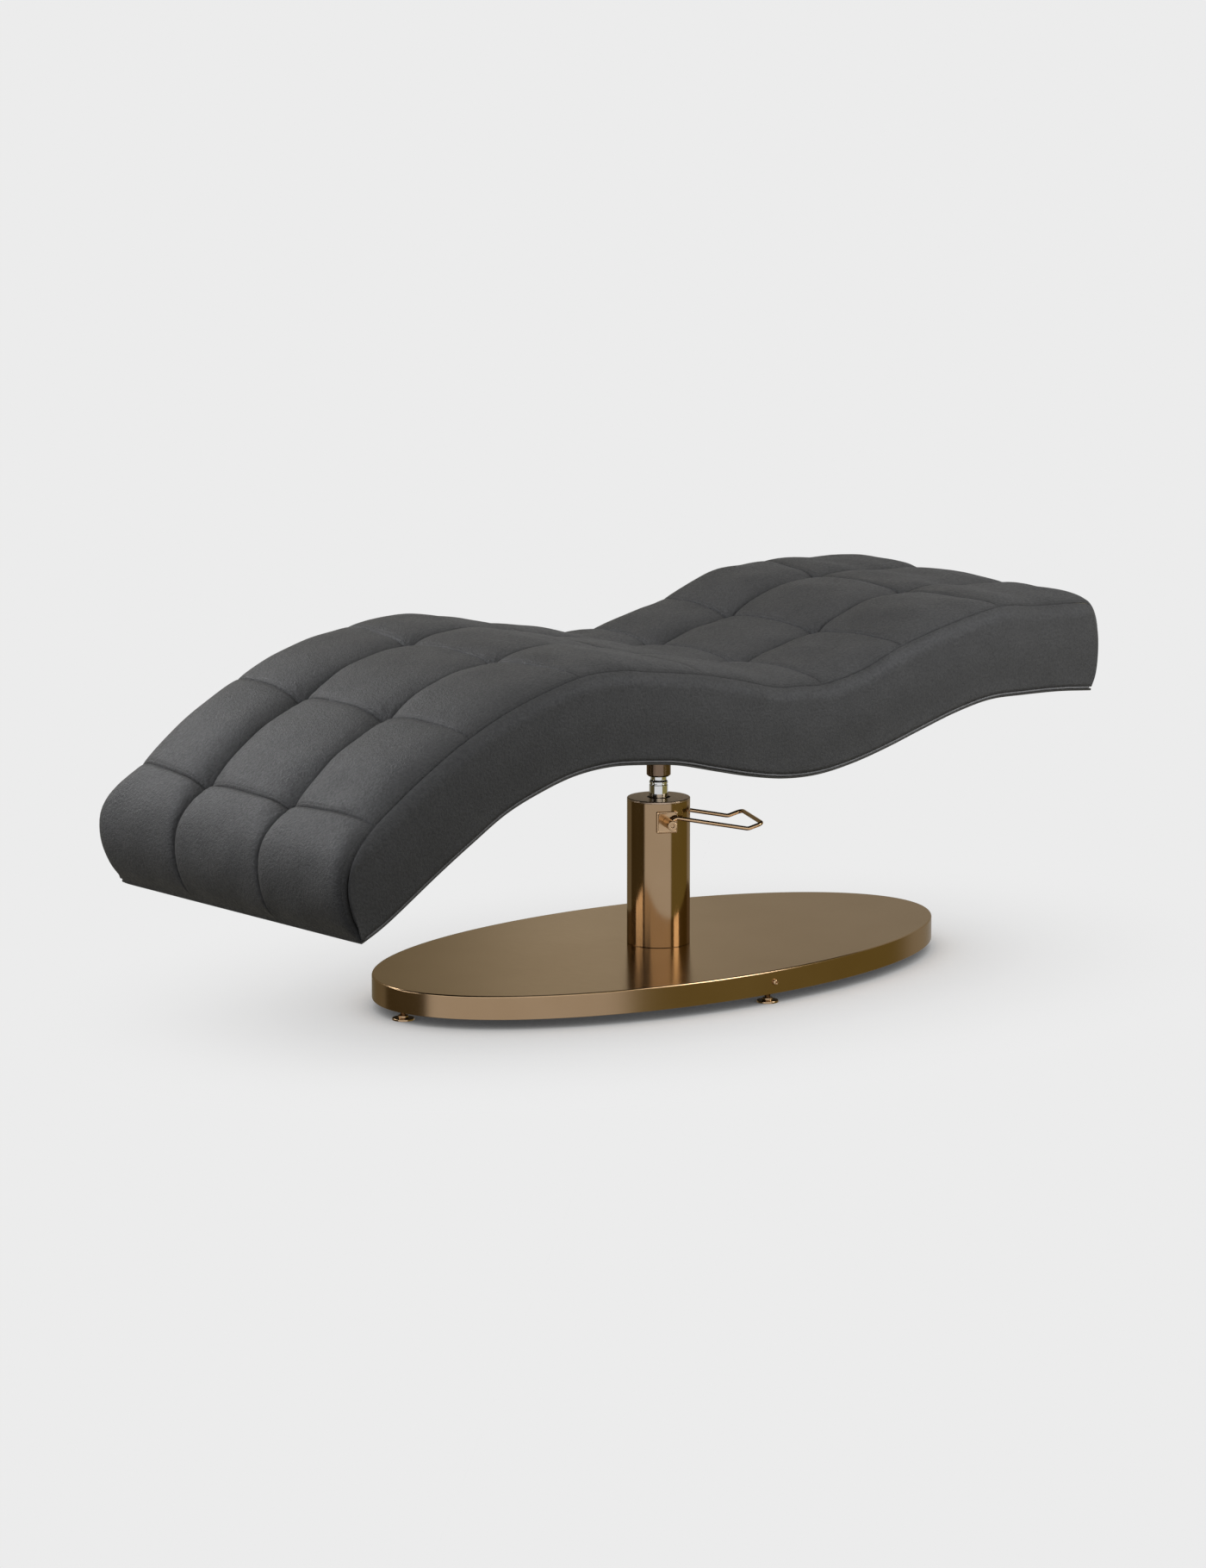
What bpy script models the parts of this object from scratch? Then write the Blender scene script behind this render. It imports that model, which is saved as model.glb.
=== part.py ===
"""Eyelash extension bed: a curved, tufted couch on a single pump column and an oval plate base.

Metres, +Z up. X runs along the bed, the head end at +X, and Y across it.
The origin is on the floor under the middle of the bed's length and width.
"""

import math

import bmesh
import bpy
from mathutils import Matrix, Vector

# Driving dimensions of the whole bed
foot_reach = 1.005
head_reach = 0.790
bed_width = 0.711
bed_thickness = 0.166
wave_height = 0.267
base_length = 1.2406
base_width = 0.652
base_top_height = 0.0615
base_underside_height = 0.0185
column_diameter = 0.1166
ram_shoulder_height = 0.361
fit_gap = 0.0003
cut_overrun = 0.004

# Oval base plate: cover, ballast, levelling feet and the screws that close it
cover_wall = 0.003
cover_edge_radius = 0.003
ballast_thickness = 0.010
foot_disc_diameter = 0.040
foot_disc_height = 0.004
foot_stud_diameter = 0.0115
foot_inset_long = 0.0223
foot_inset_short = 0.020
base_bar_width = 0.026
base_bar_height = 0.020
rim_screw_head_diameter = 0.011
rim_screw_head_height = 0.0045
rim_screw_diameter = 0.006
rim_screw_length = 0.0105
rim_screw_socket_diameter = 0.005
rim_screw_socket_depth = 0.0025

# Hydraulic pump inside the column
column_wall = 0.0025
column_cap_thickness = 0.004
column_cap_edge_radius = 0.0025
cap_spigot_height = 0.008
cap_spigot_wall = 0.004
flange_thickness = 0.012
flange_edge_gap = 0.0015
flange_bolt_circle = 0.090
flange_bolt_angle = math.radians(65)
flange_bolt_diameter = 0.010
flange_bolt_head_diameter = 0.0155
flange_bolt_head_height = 0.0065
cylinder_outer_diameter = 0.056
cylinder_inner_diameter = 0.047
cylinder_floor = 0.006
gland_length = 0.0629
gland_flange_height = 0.014
wiper_height = 0.005
wiper_wall = 0.004
ram_diameter = 0.0345
ram_neck_diameter = 0.030
shoulder_over_column = 0.0262
ram_shoulder_bevel = 0.002
piston_height = 0.028
seal_height = 0.006
seal_depth = 0.003

# Foot pedal on its cross shaft, in the pedal's own frame: X outwards, Z up
pedal_turn = math.radians(-24.8)
pivot_under_column_top = 0.0378
pedal_wire_diameter = 0.0075
pedal_gauge = 0.134
pedal_knee_out = 0.0156
pedal_knee_up = 0.0090
pedal_heel_out = 0.1525
pedal_heel_down = 0.0176
pedal_toe_out = 0.180
pedal_toe_down = 0.0087
pedal_knee_radius = 0.008
pedal_heel_radius = 0.016
pedal_corner_radius = 0.010
shaft_diameter = 0.012
boss_diameter = 0.018
boss_end_wall = 0.007
boss_screw_diameter = 0.0066
boss_screw_depth = 0.003
boss_overhang = 0.030
pad_size = 0.040
pad_proud = 0.003
bush_wall = 0.003
crank_arm = 0.017
crank_nose_radius = 0.004
crank_hub_radius = 0.009
crank_width = 0.012
crank_web = 0.0056
collar_diameter = 0.018
collar_width = 0.006

# Plunger pump worked by the crank
pump_block_depth = 0.016
pump_block_width = 0.018
pump_block_under_pivot = 0.033
plunger_offset = 0.040
plunger_diameter = 0.007
plunger_engaged = 0.030
plunger_head_diameter = 0.013
plunger_head_height = 0.004
plunger_spring_diameter = 0.0105
plunger_spring_wire = 0.0013
plunger_spring_turns = 5

# Swivel head under the bed
sleeve_outer_diameter = 0.0446
sleeve_over_shoulder = 0.013
sleeve_under_bed = 0.0455
sleeve_bevel = 0.003
washer_thickness = 0.003
seat_plate_length = 0.150
seat_plate_width = 0.220
seat_plate_thickness = 0.006
seat_bolt_spacing_y = 0.170
seat_bolt_diameter = 0.008
seat_bolt_head_diameter = 0.013
seat_bolt_head_height = 0.0055
seat_bolt_grip = 0.026

# Bed shell, frame and upholstery
board_thickness = 0.005
board_inset = 0.002
piping_diameter = 0.005
piping_corner_radius = 0.012
side_panel_thickness = 0.016
side_roll_radius = 0.014
rail_thickness = 0.018
rib_thickness = 0.018
end_board_thickness = 0.016
deck_thickness = 0.009
cushion_depth = 0.075
cover_thickness = 0.003
foot_board_setback = 0.100
head_board_setback = 0.050
crown_rise = 0.005
tuft_rise = 0.019
end_tuft_rise = 0.008

# Worked out from the sizes above
column_x = (foot_reach - head_reach) / 2
column_radius = column_diameter / 2
column_inner_radius = column_radius - column_wall
sleeve_bore = ram_neck_diameter + 2 * fit_gap
half_bed = bed_width / 2
half_inner = half_bed - side_panel_thickness - fit_gap
ballast_top = base_top_height - cover_wall - fit_gap
ballast_bottom = ballast_top - ballast_thickness
flange_top = ballast_top + fit_gap + flange_thickness
piston_bottom = flange_top + fit_gap + cylinder_floor + fit_gap
piston_top = piston_bottom + piston_height
column_top_height = ram_shoulder_height - shoulder_over_column
gland_top = column_top_height - column_cap_thickness - wiper_height / 2
lift_stroke = gland_top - gland_length - fit_gap - piston_top
pedal_pivot_height = column_top_height - pivot_under_column_top
pump_block_top = pedal_pivot_height - pump_block_under_pivot
sleeve_bottom_height = ram_shoulder_height + sleeve_over_shoulder
under_height = sleeve_bottom_height + sleeve_under_bed

# Side view of the bed. Each row is a place along the bed as a share of its reach from the
# column, a height as a share of the wave, and a depth as a share of the thickness.
underside_shares = [
    (-0.953, -0.662), (-0.895, -0.547), (-0.790, -0.292), (-0.715, -0.120), (-0.640, 0.041),
    (-0.563, 0.150), (-0.487, 0.225), (-0.408, 0.251), (-0.329, 0.232), (-0.250, 0.195),
    (-0.161, 0.116), (-0.080, 0.047), (0.0, 0.0), (0.100, -0.006), (0.203, 0.034), (0.309, 0.105),
    (0.418, 0.195), (0.528, 0.281), (0.637, 0.337), (0.748, 0.337), (0.862, 0.326), (0.968, 0.300)]
foot_wrap_shares = [
    (-0.980, -0.650, 0.23), (-0.992, -0.641, 0.50), (-0.987, -0.634, 0.74), (-0.965, -0.614, 0.90)]
top_shares = [
    (-0.918, -0.543), (-0.820, -0.292), (-0.717, -0.071), (-0.605, 0.105), (-0.468, 0.240),
    (-0.374, 0.251), (-0.313, 0.221), (-0.200, 0.160), (-0.100, 0.082), (-0.014, 0.0),
    (0.062, -0.015), (0.133, -0.024), (0.247, 0.037), (0.367, 0.161), (0.518, 0.270),
    (0.681, 0.348), (0.794, 0.322), (0.940, 0.300)]
head_wrap_shares = [(0.980, 0.294, 0.93), (0.990, 0.294, 0.64), (0.986, 0.294, 0.34)]
row_seam_shares = [-0.927, -0.721, -0.487, -0.199, 0.110, 0.349, 0.634]
rib_place_shares = [-0.660, -0.360, 0.360, 0.680]
screw_dome_shares = [(0.9, 0.6), (0.6, 1.0)]
puff_power = 0.6
seam_fullness_share = 0.5
centre_rib_spacing = 0.120
stations_per_row = 5
stations_per_column = 5
curve_steps = 3


# Helpers: curves in the side view

def reach_of(share):
    """Distance from the column of a share of the bed's reach on that side."""
    return share * (foot_reach if share < 0 else head_reach)


def place(x_share, z_share, depth_share):
    """Point of the side view, as (x, z) from the column's axis."""
    return Vector((reach_of(x_share), under_height + wave_height * z_share + bed_thickness * depth_share))


def smooth(points, steps):
    """Catmull-Rom curve through the points, with the given number of pieces between two."""
    ends = [2 * points[0] - points[1]] + points + [2 * points[-1] - points[-2]]
    curve = []
    for i in range(1, len(ends) - 2):
        a, b, c, d = ends[i - 1:i + 3]
        for k in range(steps):
            t = k / steps
            curve.append(0.5 * (2 * b + (c - a) * t + (2 * a - 5 * b + 4 * c - d) * t * t
                                + (3 * b - a - 3 * c + d) * t * t * t))
    return curve + [points[-1]]


def normals(path):
    """Mitred left-hand normals: moved along them, each edge keeps its distance."""
    sides = []
    for a, b in zip(path, path[1:]):
        edge = (b - a).normalized()
        sides.append(Vector((-edge.y, edge.x)))
    pairs = zip([sides[0]] + sides, sides + [sides[-1]])
    return [(a + b) / (1 + a.dot(b)) for a, b in pairs]


def offset(path, distance):
    """The path moved to its left by a distance."""
    return [point + normal * distance for point, normal in zip(path, normals(path))]


def level(path, x):
    """Height of a path at x; its end pieces run on straight."""
    index = 0
    while index < len(path) - 2 and path[index + 1].x < x:
        index += 1
    a, b = path[index], path[index + 1]
    return a.y + (b.y - a.y) * (x - a.x) / (b.x - a.x)


def stretch(path, x0, x1):
    """The part of a path between two places along the bed."""
    inside = [point for point in path if x0 < point.x < x1]
    return [Vector((x0, level(path, x0)))] + inside + [Vector((x1, level(path, x1)))]


def lengths(path):
    """Distance along a path at each of its points."""
    run = [0.0]
    for a, b in zip(path, path[1:]):
        run.append(run[-1] + (b - a).length)
    return run


def along(path, run, distance):
    """Point and left-hand normal at a distance along a path."""
    index = 0
    while index < len(path) - 2 and run[index + 1] < distance:
        index += 1
    share = (distance - run[index]) / (run[index + 1] - run[index])
    sides = normals(path)
    normal = sides[index].lerp(sides[index + 1], share).normalized()
    return path[index].lerp(path[index + 1], share), normal


# Helpers: objects

def clear_scene():
    for item in list(bpy.data.objects):
        bpy.data.objects.remove(item, do_unlink=True)


def finish_of(name, colour, roughness, metallic):
    """Principled material of one sub-part."""
    material = bpy.data.materials.new(name)
    material.use_nodes = True
    shader = material.node_tree.nodes["Principled BSDF"]
    shader.inputs["Base Color"].default_value = (*colour, 1.0)
    shader.inputs["Roughness"].default_value = roughness
    shader.inputs["Metallic"].default_value = metallic
    return material


def gold(name):
    return finish_of(name, (0.42, 0.30, 0.17), 0.28, 1.0)


def chrome(name):
    return finish_of(name, (0.75, 0.75, 0.75), 0.08, 1.0)


def steel(name):
    return finish_of(name, (0.45, 0.45, 0.46), 0.35, 1.0)


def dark_steel(name):
    return finish_of(name, (0.08, 0.08, 0.085), 0.55, 0.8)


def bronze(name):
    return finish_of(name, (0.50, 0.33, 0.12), 0.35, 1.0)


def rubber(name):
    return finish_of(name, (0.02, 0.02, 0.02), 0.7, 0.0)


def plywood(name):
    return finish_of(name, (0.52, 0.37, 0.22), 0.65, 0.0)


def leather(name):
    return finish_of(name, (0.055, 0.055, 0.055), 0.5, 0.0)


def axis_empty(name, location, turn=0.0, parent=None):
    """Empty on a joint's axis, which carries the pieces that move about it."""
    empty = bpy.data.objects.new(name, None)
    bpy.context.collection.objects.link(empty)
    empty.location = location
    empty.rotation_euler = (0.0, 0.0, turn)
    empty.parent = parent
    return empty


def add_object(name, bm, material, parent, round_piece=False):
    """Object from a bmesh whose faces are turned outwards."""
    bmesh.ops.recalc_face_normals(bm, faces=bm.faces)
    mesh = bpy.data.meshes.new(name)
    bm.to_mesh(mesh)
    bm.free()
    if round_piece:
        mesh.shade_smooth()
        mesh.set_sharp_from_angle(angle=math.radians(35))
    if material is not None:
        mesh.materials.append(material)
    item = bpy.data.objects.new(name, mesh)
    bpy.context.collection.objects.link(item)
    item.parent = parent
    return item


def hide_cutter(item):
    item.hide_render = True
    item.display_type = "WIRE"
    return item


def cut(item, cutter):
    """Leave the cutter's shape out of the item."""
    modifier = item.modifiers.new(cutter.name, "BOOLEAN")
    modifier.operation = "DIFFERENCE"
    modifier.object = cutter
    return item


def copy_to(bm, spots):
    """Leave a copy of all that the bmesh holds at each spot."""
    first = list(bm.verts)
    everything = list(bm.verts) + list(bm.edges) + list(bm.faces)
    for spot in spots[1:]:
        grown = bmesh.ops.duplicate(bm, geom=everything)
        moved = [item for item in grown["geom"] if isinstance(item, bmesh.types.BMVert)]
        bmesh.ops.translate(bm, verts=moved, vec=spot)
    bmesh.ops.translate(bm, verts=first, vec=spots[0])


def turned(name, profile, material, parent, segments, spots=((0.0, 0.0, 0.0),), lay=None):
    """Body of revolution from a closed (radius, height) outline about Z, at each of its spots."""
    bm = bmesh.new()
    verts = [bm.verts.new((radius, 0.0, height)) for radius, height in profile]
    edges = [bm.edges.new((a, b)) for a, b in zip(verts, verts[1:] + verts[:1])]
    bmesh.ops.spin(bm, geom=verts + edges, cent=(0, 0, 0), axis=(0, 0, 1), angle=math.tau,
                   steps=segments, use_merge=True)
    bmesh.ops.remove_doubles(bm, verts=bm.verts, dist=fit_gap / 100)
    bmesh.ops.dissolve_degenerate(bm, edges=bm.edges, dist=fit_gap / 100)
    if lay is not None:
        bmesh.ops.rotate(bm, verts=bm.verts, cent=(0, 0, 0), matrix=lay)
    copy_to(bm, spots)
    return add_object(name, bm, material, parent, round_piece=True)


def rod(name, radius, bottom, top, material, parent, segments, spots=((0.0, 0.0, 0.0),), lay=None):
    """Plain round rod."""
    profile = [(0.0, bottom), (radius, bottom), (radius, top), (0.0, top)]
    return turned(name, profile, material, parent, segments, spots, lay)


def ring(name, inner, outer, bottom, top, material, parent, segments, spots=((0.0, 0.0, 0.0),), lay=None):
    """Plain round ring or tube."""
    profile = [(inner, bottom), (outer, bottom), (outer, top), (inner, top)]
    return turned(name, profile, material, parent, segments, spots, lay)


def block(name, low, high, material, parent):
    """Box between two corners."""
    size = Vector(high) - Vector(low)
    middle = (Vector(high) + Vector(low)) / 2
    bm = bmesh.new()
    matrix = Matrix.Translation(middle) @ Matrix.Diagonal((*size, 1.0))
    bmesh.ops.create_cube(bm, size=1.0, matrix=matrix)
    return add_object(name, bm, material, parent)


def prism(name, outline, y0, y1, material, parent):
    """Side-view outline pushed across the bed from y0 to y1."""
    bm = bmesh.new()
    verts = [bm.verts.new((point.x, y0, point.y)) for point in outline]
    face = bm.faces.new(verts)
    grown = bmesh.ops.extrude_face_region(bm, geom=[face])
    moved = [item for item in grown["geom"] if isinstance(item, bmesh.types.BMVert)]
    bmesh.ops.translate(bm, verts=moved, vec=(0.0, y1 - y0, 0.0))
    return add_object(name, bm, material, parent)


def band(name, lower, upper, y0, y1, material, parent):
    """Prism between a lower and an upper path."""
    return prism(name, lower + upper[::-1], y0, y1, material, parent)


def lofted(bm, rings, closed):
    """Skin of quads over rings with equal numbers of points."""
    rows = [[bm.verts.new(point) for point in points] for points in rings]
    pairs = list(zip(rows, rows[1:]))
    if closed:
        pairs.append((rows[-1], rows[0]))
    for low, high in pairs:
        for i in range(len(low)):
            j = (i + 1) % len(low)
            bm.faces.new((low[i], low[j], high[j], high[i]))
    return rows


def tube(name, points, diameter, bevel_resolution, cyclic, material, parent):
    """Round wire along its points."""
    curve = bpy.data.curves.new(name, "CURVE")
    curve.dimensions = "3D"
    curve.bevel_depth = diameter / 2
    curve.bevel_resolution = bevel_resolution
    curve.use_fill_caps = True
    curve.materials.append(material)
    spline = curve.splines.new("POLY")
    spline.points.add(len(points) - 1)
    for target, point in zip(spline.points, points):
        target.co = (*point, 1.0)
    spline.use_cyclic_u = cyclic
    item = bpy.data.objects.new(name, curve)
    bpy.context.collection.objects.link(item)
    item.parent = parent
    return item


def rounded(points, radii, steps):
    """Straight runs joined by arcs at the inner points."""
    route = [points[0]]
    for before, corner, after, radius in zip(points, points[1:], points[2:], radii):
        inwards = (before - corner).normalized()
        onwards = (after - corner).normalized()
        half = inwards.angle(onwards) / 2
        reach = radius / math.tan(half)
        centre = corner + (inwards + onwards).normalized() * (radius / math.sin(half))
        start = (corner + inwards * reach - centre).normalized()
        finish = (corner + onwards * reach - centre).normalized()
        for k in range(steps + 1):
            route.append(centre + radius * start.slerp(finish, k / steps))
    return route + [points[-1]]


# Base plate

def oval(inset, height, segments):
    """Ring of points on the base's ellipse, drawn in by an inset."""
    long_half = base_length / 2 - inset
    short_half = base_width / 2 - inset
    angles = [math.tau * (k + 0.5) / segments for k in range(segments)]
    return [(long_half * math.cos(a), short_half * math.sin(a), height) for a in angles]


def circle(radius, height, segments):
    angles = [math.tau * (k + 0.5) / segments for k in range(segments)]
    return [(radius * math.cos(a), radius * math.sin(a), height) for a in angles]


def make_base_cover(parent):
    """Spun gold shell, open below, with a round hole for the pump's flange."""
    segments = 64
    bm = bmesh.new()
    rings = [oval(cover_wall, base_underside_height, segments), oval(0.0, base_underside_height, segments)]
    for k in range(3):
        angle = math.pi / 2 * k / 2
        inset = cover_edge_radius * (1 - math.cos(angle))
        rings.append(oval(inset, base_top_height - cover_edge_radius * (1 - math.sin(angle)), segments))
    hole = column_inner_radius - flange_edge_gap / 2
    rings.append(circle(hole, base_top_height, segments))
    rings.append(circle(hole, base_top_height - cover_wall, segments))
    rings.append(oval(cover_wall, base_top_height - cover_wall, segments))
    lofted(bm, rings, closed=True)
    return add_object("base_cover", bm, gold("base_cover"), parent, round_piece=True)


def make_ballast(parent):
    """Cut steel plate that fills the shell's top and weighs the bed down."""
    segments = 64
    bm = bmesh.new()
    inset = cover_wall + fit_gap
    rings = [oval(inset, ballast_bottom, segments), oval(inset, ballast_top, segments)]
    rows = lofted(bm, rings, closed=False)
    bm.faces.new(rows[0])
    bm.faces.new(rows[-1])
    return add_object("ballast_plate", bm, dark_steel("ballast_plate"), parent)


def foot_places():
    """Places of the levelling feet at the ends of the oval's axes, each with its outward direction."""
    out = base_length / 2 - foot_inset_long
    side = base_width / 2 - foot_inset_short
    return [(-out, 0.0), (0.0, -side), (out, 0.0), (0.0, side)]


def make_feet(column):
    """Four levelling feet: a disc on the floor with its threaded stud up into the base cross."""
    for number, (x, y) in enumerate(foot_places(), start=1):
        axis = axis_empty(f"foot_{number}_axis", (x, y, 0.0), parent=column)
        disc_radius = foot_disc_diameter / 2
        stud = foot_stud_diameter / 2
        edge = foot_disc_height / 4
        top = ballast_bottom - 2 * fit_gap
        profile = [(0.0, 0.0), (disc_radius, 0.0), (disc_radius, foot_disc_height - edge),
                   (disc_radius - edge, foot_disc_height), (stud, foot_disc_height), (stud, top), (0.0, top)]
        turned(f"levelling_foot_{number}", profile, gold(f"levelling_foot_{number}"), axis, 20)


def make_base_cross(column, cover):
    """Two flat bars welded into a cross under the ballast plate, tapped for feet and rim screws."""
    half = base_bar_width / 2
    top = ballast_bottom - fit_gap
    long_end = base_length / 2 - foot_inset_long + half
    short_end = base_width / 2 - foot_inset_short + half
    bottom = top - base_bar_height
    outline = [(half, half), (half, short_end), (-half, short_end), (-half, half), (-long_end, half),
               (-long_end, -half), (-half, -half), (-half, -short_end), (half, -short_end), (half, -half),
               (long_end, -half), (long_end, half)]
    bm = bmesh.new()
    rows = lofted(bm, [[(x, y, bottom) for x, y in outline], [(x, y, top) for x, y in outline]], closed=False)
    bm.faces.new(rows[0])
    bm.faces.new(rows[-1])
    cross = add_object("base_cross", bm, dark_steel("base_cross"), column)
    cutter = rod("foot_bores", foot_stud_diameter / 2 + fit_gap, base_underside_height,
                 ballast_bottom + cut_overrun, None, column, 20, [(x, y, 0.0) for x, y in foot_places()])
    cut(cross, hide_cutter(cutter))
    screw_height = (base_underside_height + base_top_height) / 2
    for side in (-1, 1):
        make_rim_screw(column, cross, cover, side, screw_height)


def make_rim_screw(column, cross, cover, side, height):
    """Button head screw through the rim into the end of the base cross."""
    name = "rim_screw_left" if side < 0 else "rim_screw_right"
    lay = Matrix.Rotation(math.radians(-90) * side, 3, "X")
    spots = [(0.0, side * base_width / 2, height)]
    head = rim_screw_head_diameter / 2
    bore = rim_screw_socket_diameter / 2
    shank = rim_screw_diameter / 2
    seat = fit_gap
    crown = seat + rim_screw_head_height
    profile = [(0.0, seat - rim_screw_length), (shank, seat - rim_screw_length), (shank, seat), (head, seat)]
    for radius_share, height_share in screw_dome_shares:
        profile.append((head * radius_share, seat + rim_screw_head_height * height_share))
    profile += [(bore, crown), (bore, crown - rim_screw_socket_depth), (0.0, crown - rim_screw_socket_depth)]
    turned(name, profile, gold(name), column, 12, spots, lay)
    cutter = rod(name + "_bore", shank + fit_gap, -rim_screw_length - cut_overrun / 2, cut_overrun,
                 None, column, 12, spots, lay)
    hide_cutter(cutter)
    cut(cross, cutter)
    cut(cover, cutter)


# Column and pump

def make_column(parent, pump):
    """Gold tube over the pump, closed by a lid that guides the ram."""
    tube_top = column_top_height - column_cap_thickness
    column_tube = ring("column_tube", column_inner_radius, column_radius, base_top_height + fit_gap,
                       tube_top - fit_gap, gold("column_tube"), parent, 40)
    edge = column_cap_edge_radius
    rim = []
    for k in range(3):
        angle = math.pi / 2 * k / 2
        inset, drop = edge * (1 - math.cos(angle)), edge * (1 - math.sin(angle))
        rim.append((column_radius - inset, column_top_height - drop))
    bore = ram_diameter / 2 + wiper_wall
    spigot = column_inner_radius - fit_gap
    profile = ([(column_radius, tube_top)] + rim + [(bore, column_top_height), (bore, tube_top),
               (spigot - cap_spigot_wall, tube_top), (spigot - cap_spigot_wall, tube_top - cap_spigot_height),
               (spigot, tube_top - cap_spigot_height), (spigot, tube_top)])
    turned("column_cap", profile, gold("column_cap"), parent, 40)
    cutter = rod("shaft_way", shaft_diameter / 2 + fit_gap + bush_wall + fit_gap, -column_diameter,
                 column_diameter, None, pump, 20, [(0.0, 0.0, pedal_pivot_height)],
                 Matrix.Rotation(math.radians(90), 3, "X"))
    cut(column_tube, hide_cutter(cutter))
    return cutter


def make_pump(parent, pump, ballast):
    """Flange, cylinder, gland and wiper of the hydraulic lift."""
    flange_radius = column_inner_radius - flange_edge_gap
    flange = rod("pump_flange", flange_radius, ballast_top + fit_gap, flange_top, dark_steel("pump_flange"),
                 parent, 40)
    reach = flange_bolt_circle / 2
    shank = flange_bolt_diameter / 2
    head = flange_bolt_head_diameter / 2
    seat = flange_top + fit_gap
    bolt_end = ballast_bottom + fit_gap
    out_x = reach * math.sin(flange_bolt_angle)
    out_y = reach * math.cos(flange_bolt_angle)
    spots = [(side_x * out_x, side_y * out_y, 0.0) for side_x in (-1, 1) for side_y in (-1, 1)]
    profile = [(0.0, bolt_end), (shank, bolt_end), (shank, seat), (head, seat),
               (head, seat + flange_bolt_head_height), (0.0, seat + flange_bolt_head_height)]
    for number, spot in enumerate(spots, start=1):
        turned(f"flange_bolt_{number}", profile, steel(f"flange_bolt_{number}"), pump, 12, [spot])
    cutter = rod("flange_bores", shank + fit_gap, bolt_end - cut_overrun, seat + cut_overrun,
                 None, pump, 12, spots)
    hide_cutter(cutter)
    cut(flange, cutter)
    cut(ballast, cutter)
    outer = cylinder_outer_diameter / 2
    inner = cylinder_inner_diameter / 2
    bottom = flange_top + fit_gap
    cylinder_top = gland_top - gland_flange_height - fit_gap
    gland_bottom = piston_top + lift_stroke + fit_gap
    profile = [(0.0, bottom), (outer, bottom), (outer, cylinder_top), (inner, cylinder_top),
               (inner, bottom + cylinder_floor), (0.0, bottom + cylinder_floor)]
    turned("pump_cylinder", profile, steel("pump_cylinder"), parent, 32)
    bore = ram_diameter / 2 + fit_gap
    spigot = inner - fit_gap
    profile = [(bore, gland_bottom), (spigot, gland_bottom), (spigot, cylinder_top + fit_gap),
               (outer, cylinder_top + fit_gap), (outer, gland_top), (bore, gland_top)]
    turned("cylinder_gland", profile, bronze("cylinder_gland"), parent, 32)
    ring("wiper_seal", ram_diameter / 2 + fit_gap, ram_diameter / 2 + wiper_wall - fit_gap,
         gland_top + fit_gap, gland_top + fit_gap + wiper_height, rubber("wiper_seal"), parent, 32)


def make_ram(ram_axis):
    """Chromed ram with its piston and seal; the bed turns on its neck."""
    radius = ram_diameter / 2
    neck = ram_neck_diameter / 2
    piston_radius = cylinder_inner_diameter / 2 - fit_gap
    groove_bottom = piston_bottom + (piston_height - seal_height) / 2
    groove = piston_radius - seal_depth
    profile = [(0.0, piston_bottom), (piston_radius, piston_bottom), (piston_radius, groove_bottom),
               (groove, groove_bottom), (groove, groove_bottom + seal_height),
               (piston_radius, groove_bottom + seal_height), (piston_radius, piston_top), (0.0, piston_top)]
    turned("ram_piston", profile, steel("ram_piston"), ram_axis, 32)
    ring("piston_seal", groove + fit_gap, piston_radius, groove_bottom + fit_gap,
         groove_bottom + seal_height - fit_gap, rubber("piston_seal"), ram_axis, 32)
    neck_top = seat_plate_bottom() - washer_thickness - 2 * fit_gap
    bevel = ram_shoulder_bevel
    profile = [(0.0, piston_top + fit_gap), (radius, piston_top + fit_gap),
               (radius, ram_shoulder_height - bevel), (radius - bevel, ram_shoulder_height),
               (neck, ram_shoulder_height), (neck, neck_top), (0.0, neck_top)]
    turned("ram_rod", profile, chrome("ram_rod"), ram_axis, 32)


# Pedal, its shafts and the plunger pump

def make_pedal_bearings(pump, shaft_way):
    """Square pad and bush on both sides of the column; the front is at -Y of the pump's frame."""
    half = pad_size / 2
    inner = shaft_diameter / 2 + fit_gap
    face = column_radius + pad_proud
    back = column_radius * math.cos(math.asin(half / column_radius)) - cut_overrun / 2
    lay = Matrix.Rotation(math.radians(90), 3, "X")
    cutter = rod("pad_back", column_radius + fit_gap, pedal_pivot_height - pad_size,
                 pedal_pivot_height + pad_size, None, pump, 40)
    hide_cutter(cutter)
    for side, end in ((-1, "front"), (1, "rear")):
        low = (-half, min(side * back, side * face), pedal_pivot_height - half)
        high = (half, max(side * back, side * face), pedal_pivot_height + half)
        pad = block(f"pedal_pad_{end}", low, high, gold(f"pedal_pad_{end}"), pump)
        cut(pad, cutter)
        cut(pad, shaft_way)
        start = -side * (column_inner_radius - bush_wall)
        finish = -side * face
        ring(f"shaft_bush_{end}", inner, inner + bush_wall, min(start, finish), max(start, finish),
             bronze(f"shaft_bush_{end}"), pump, 20, [(0.0, 0.0, pedal_pivot_height)], lay)


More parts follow.
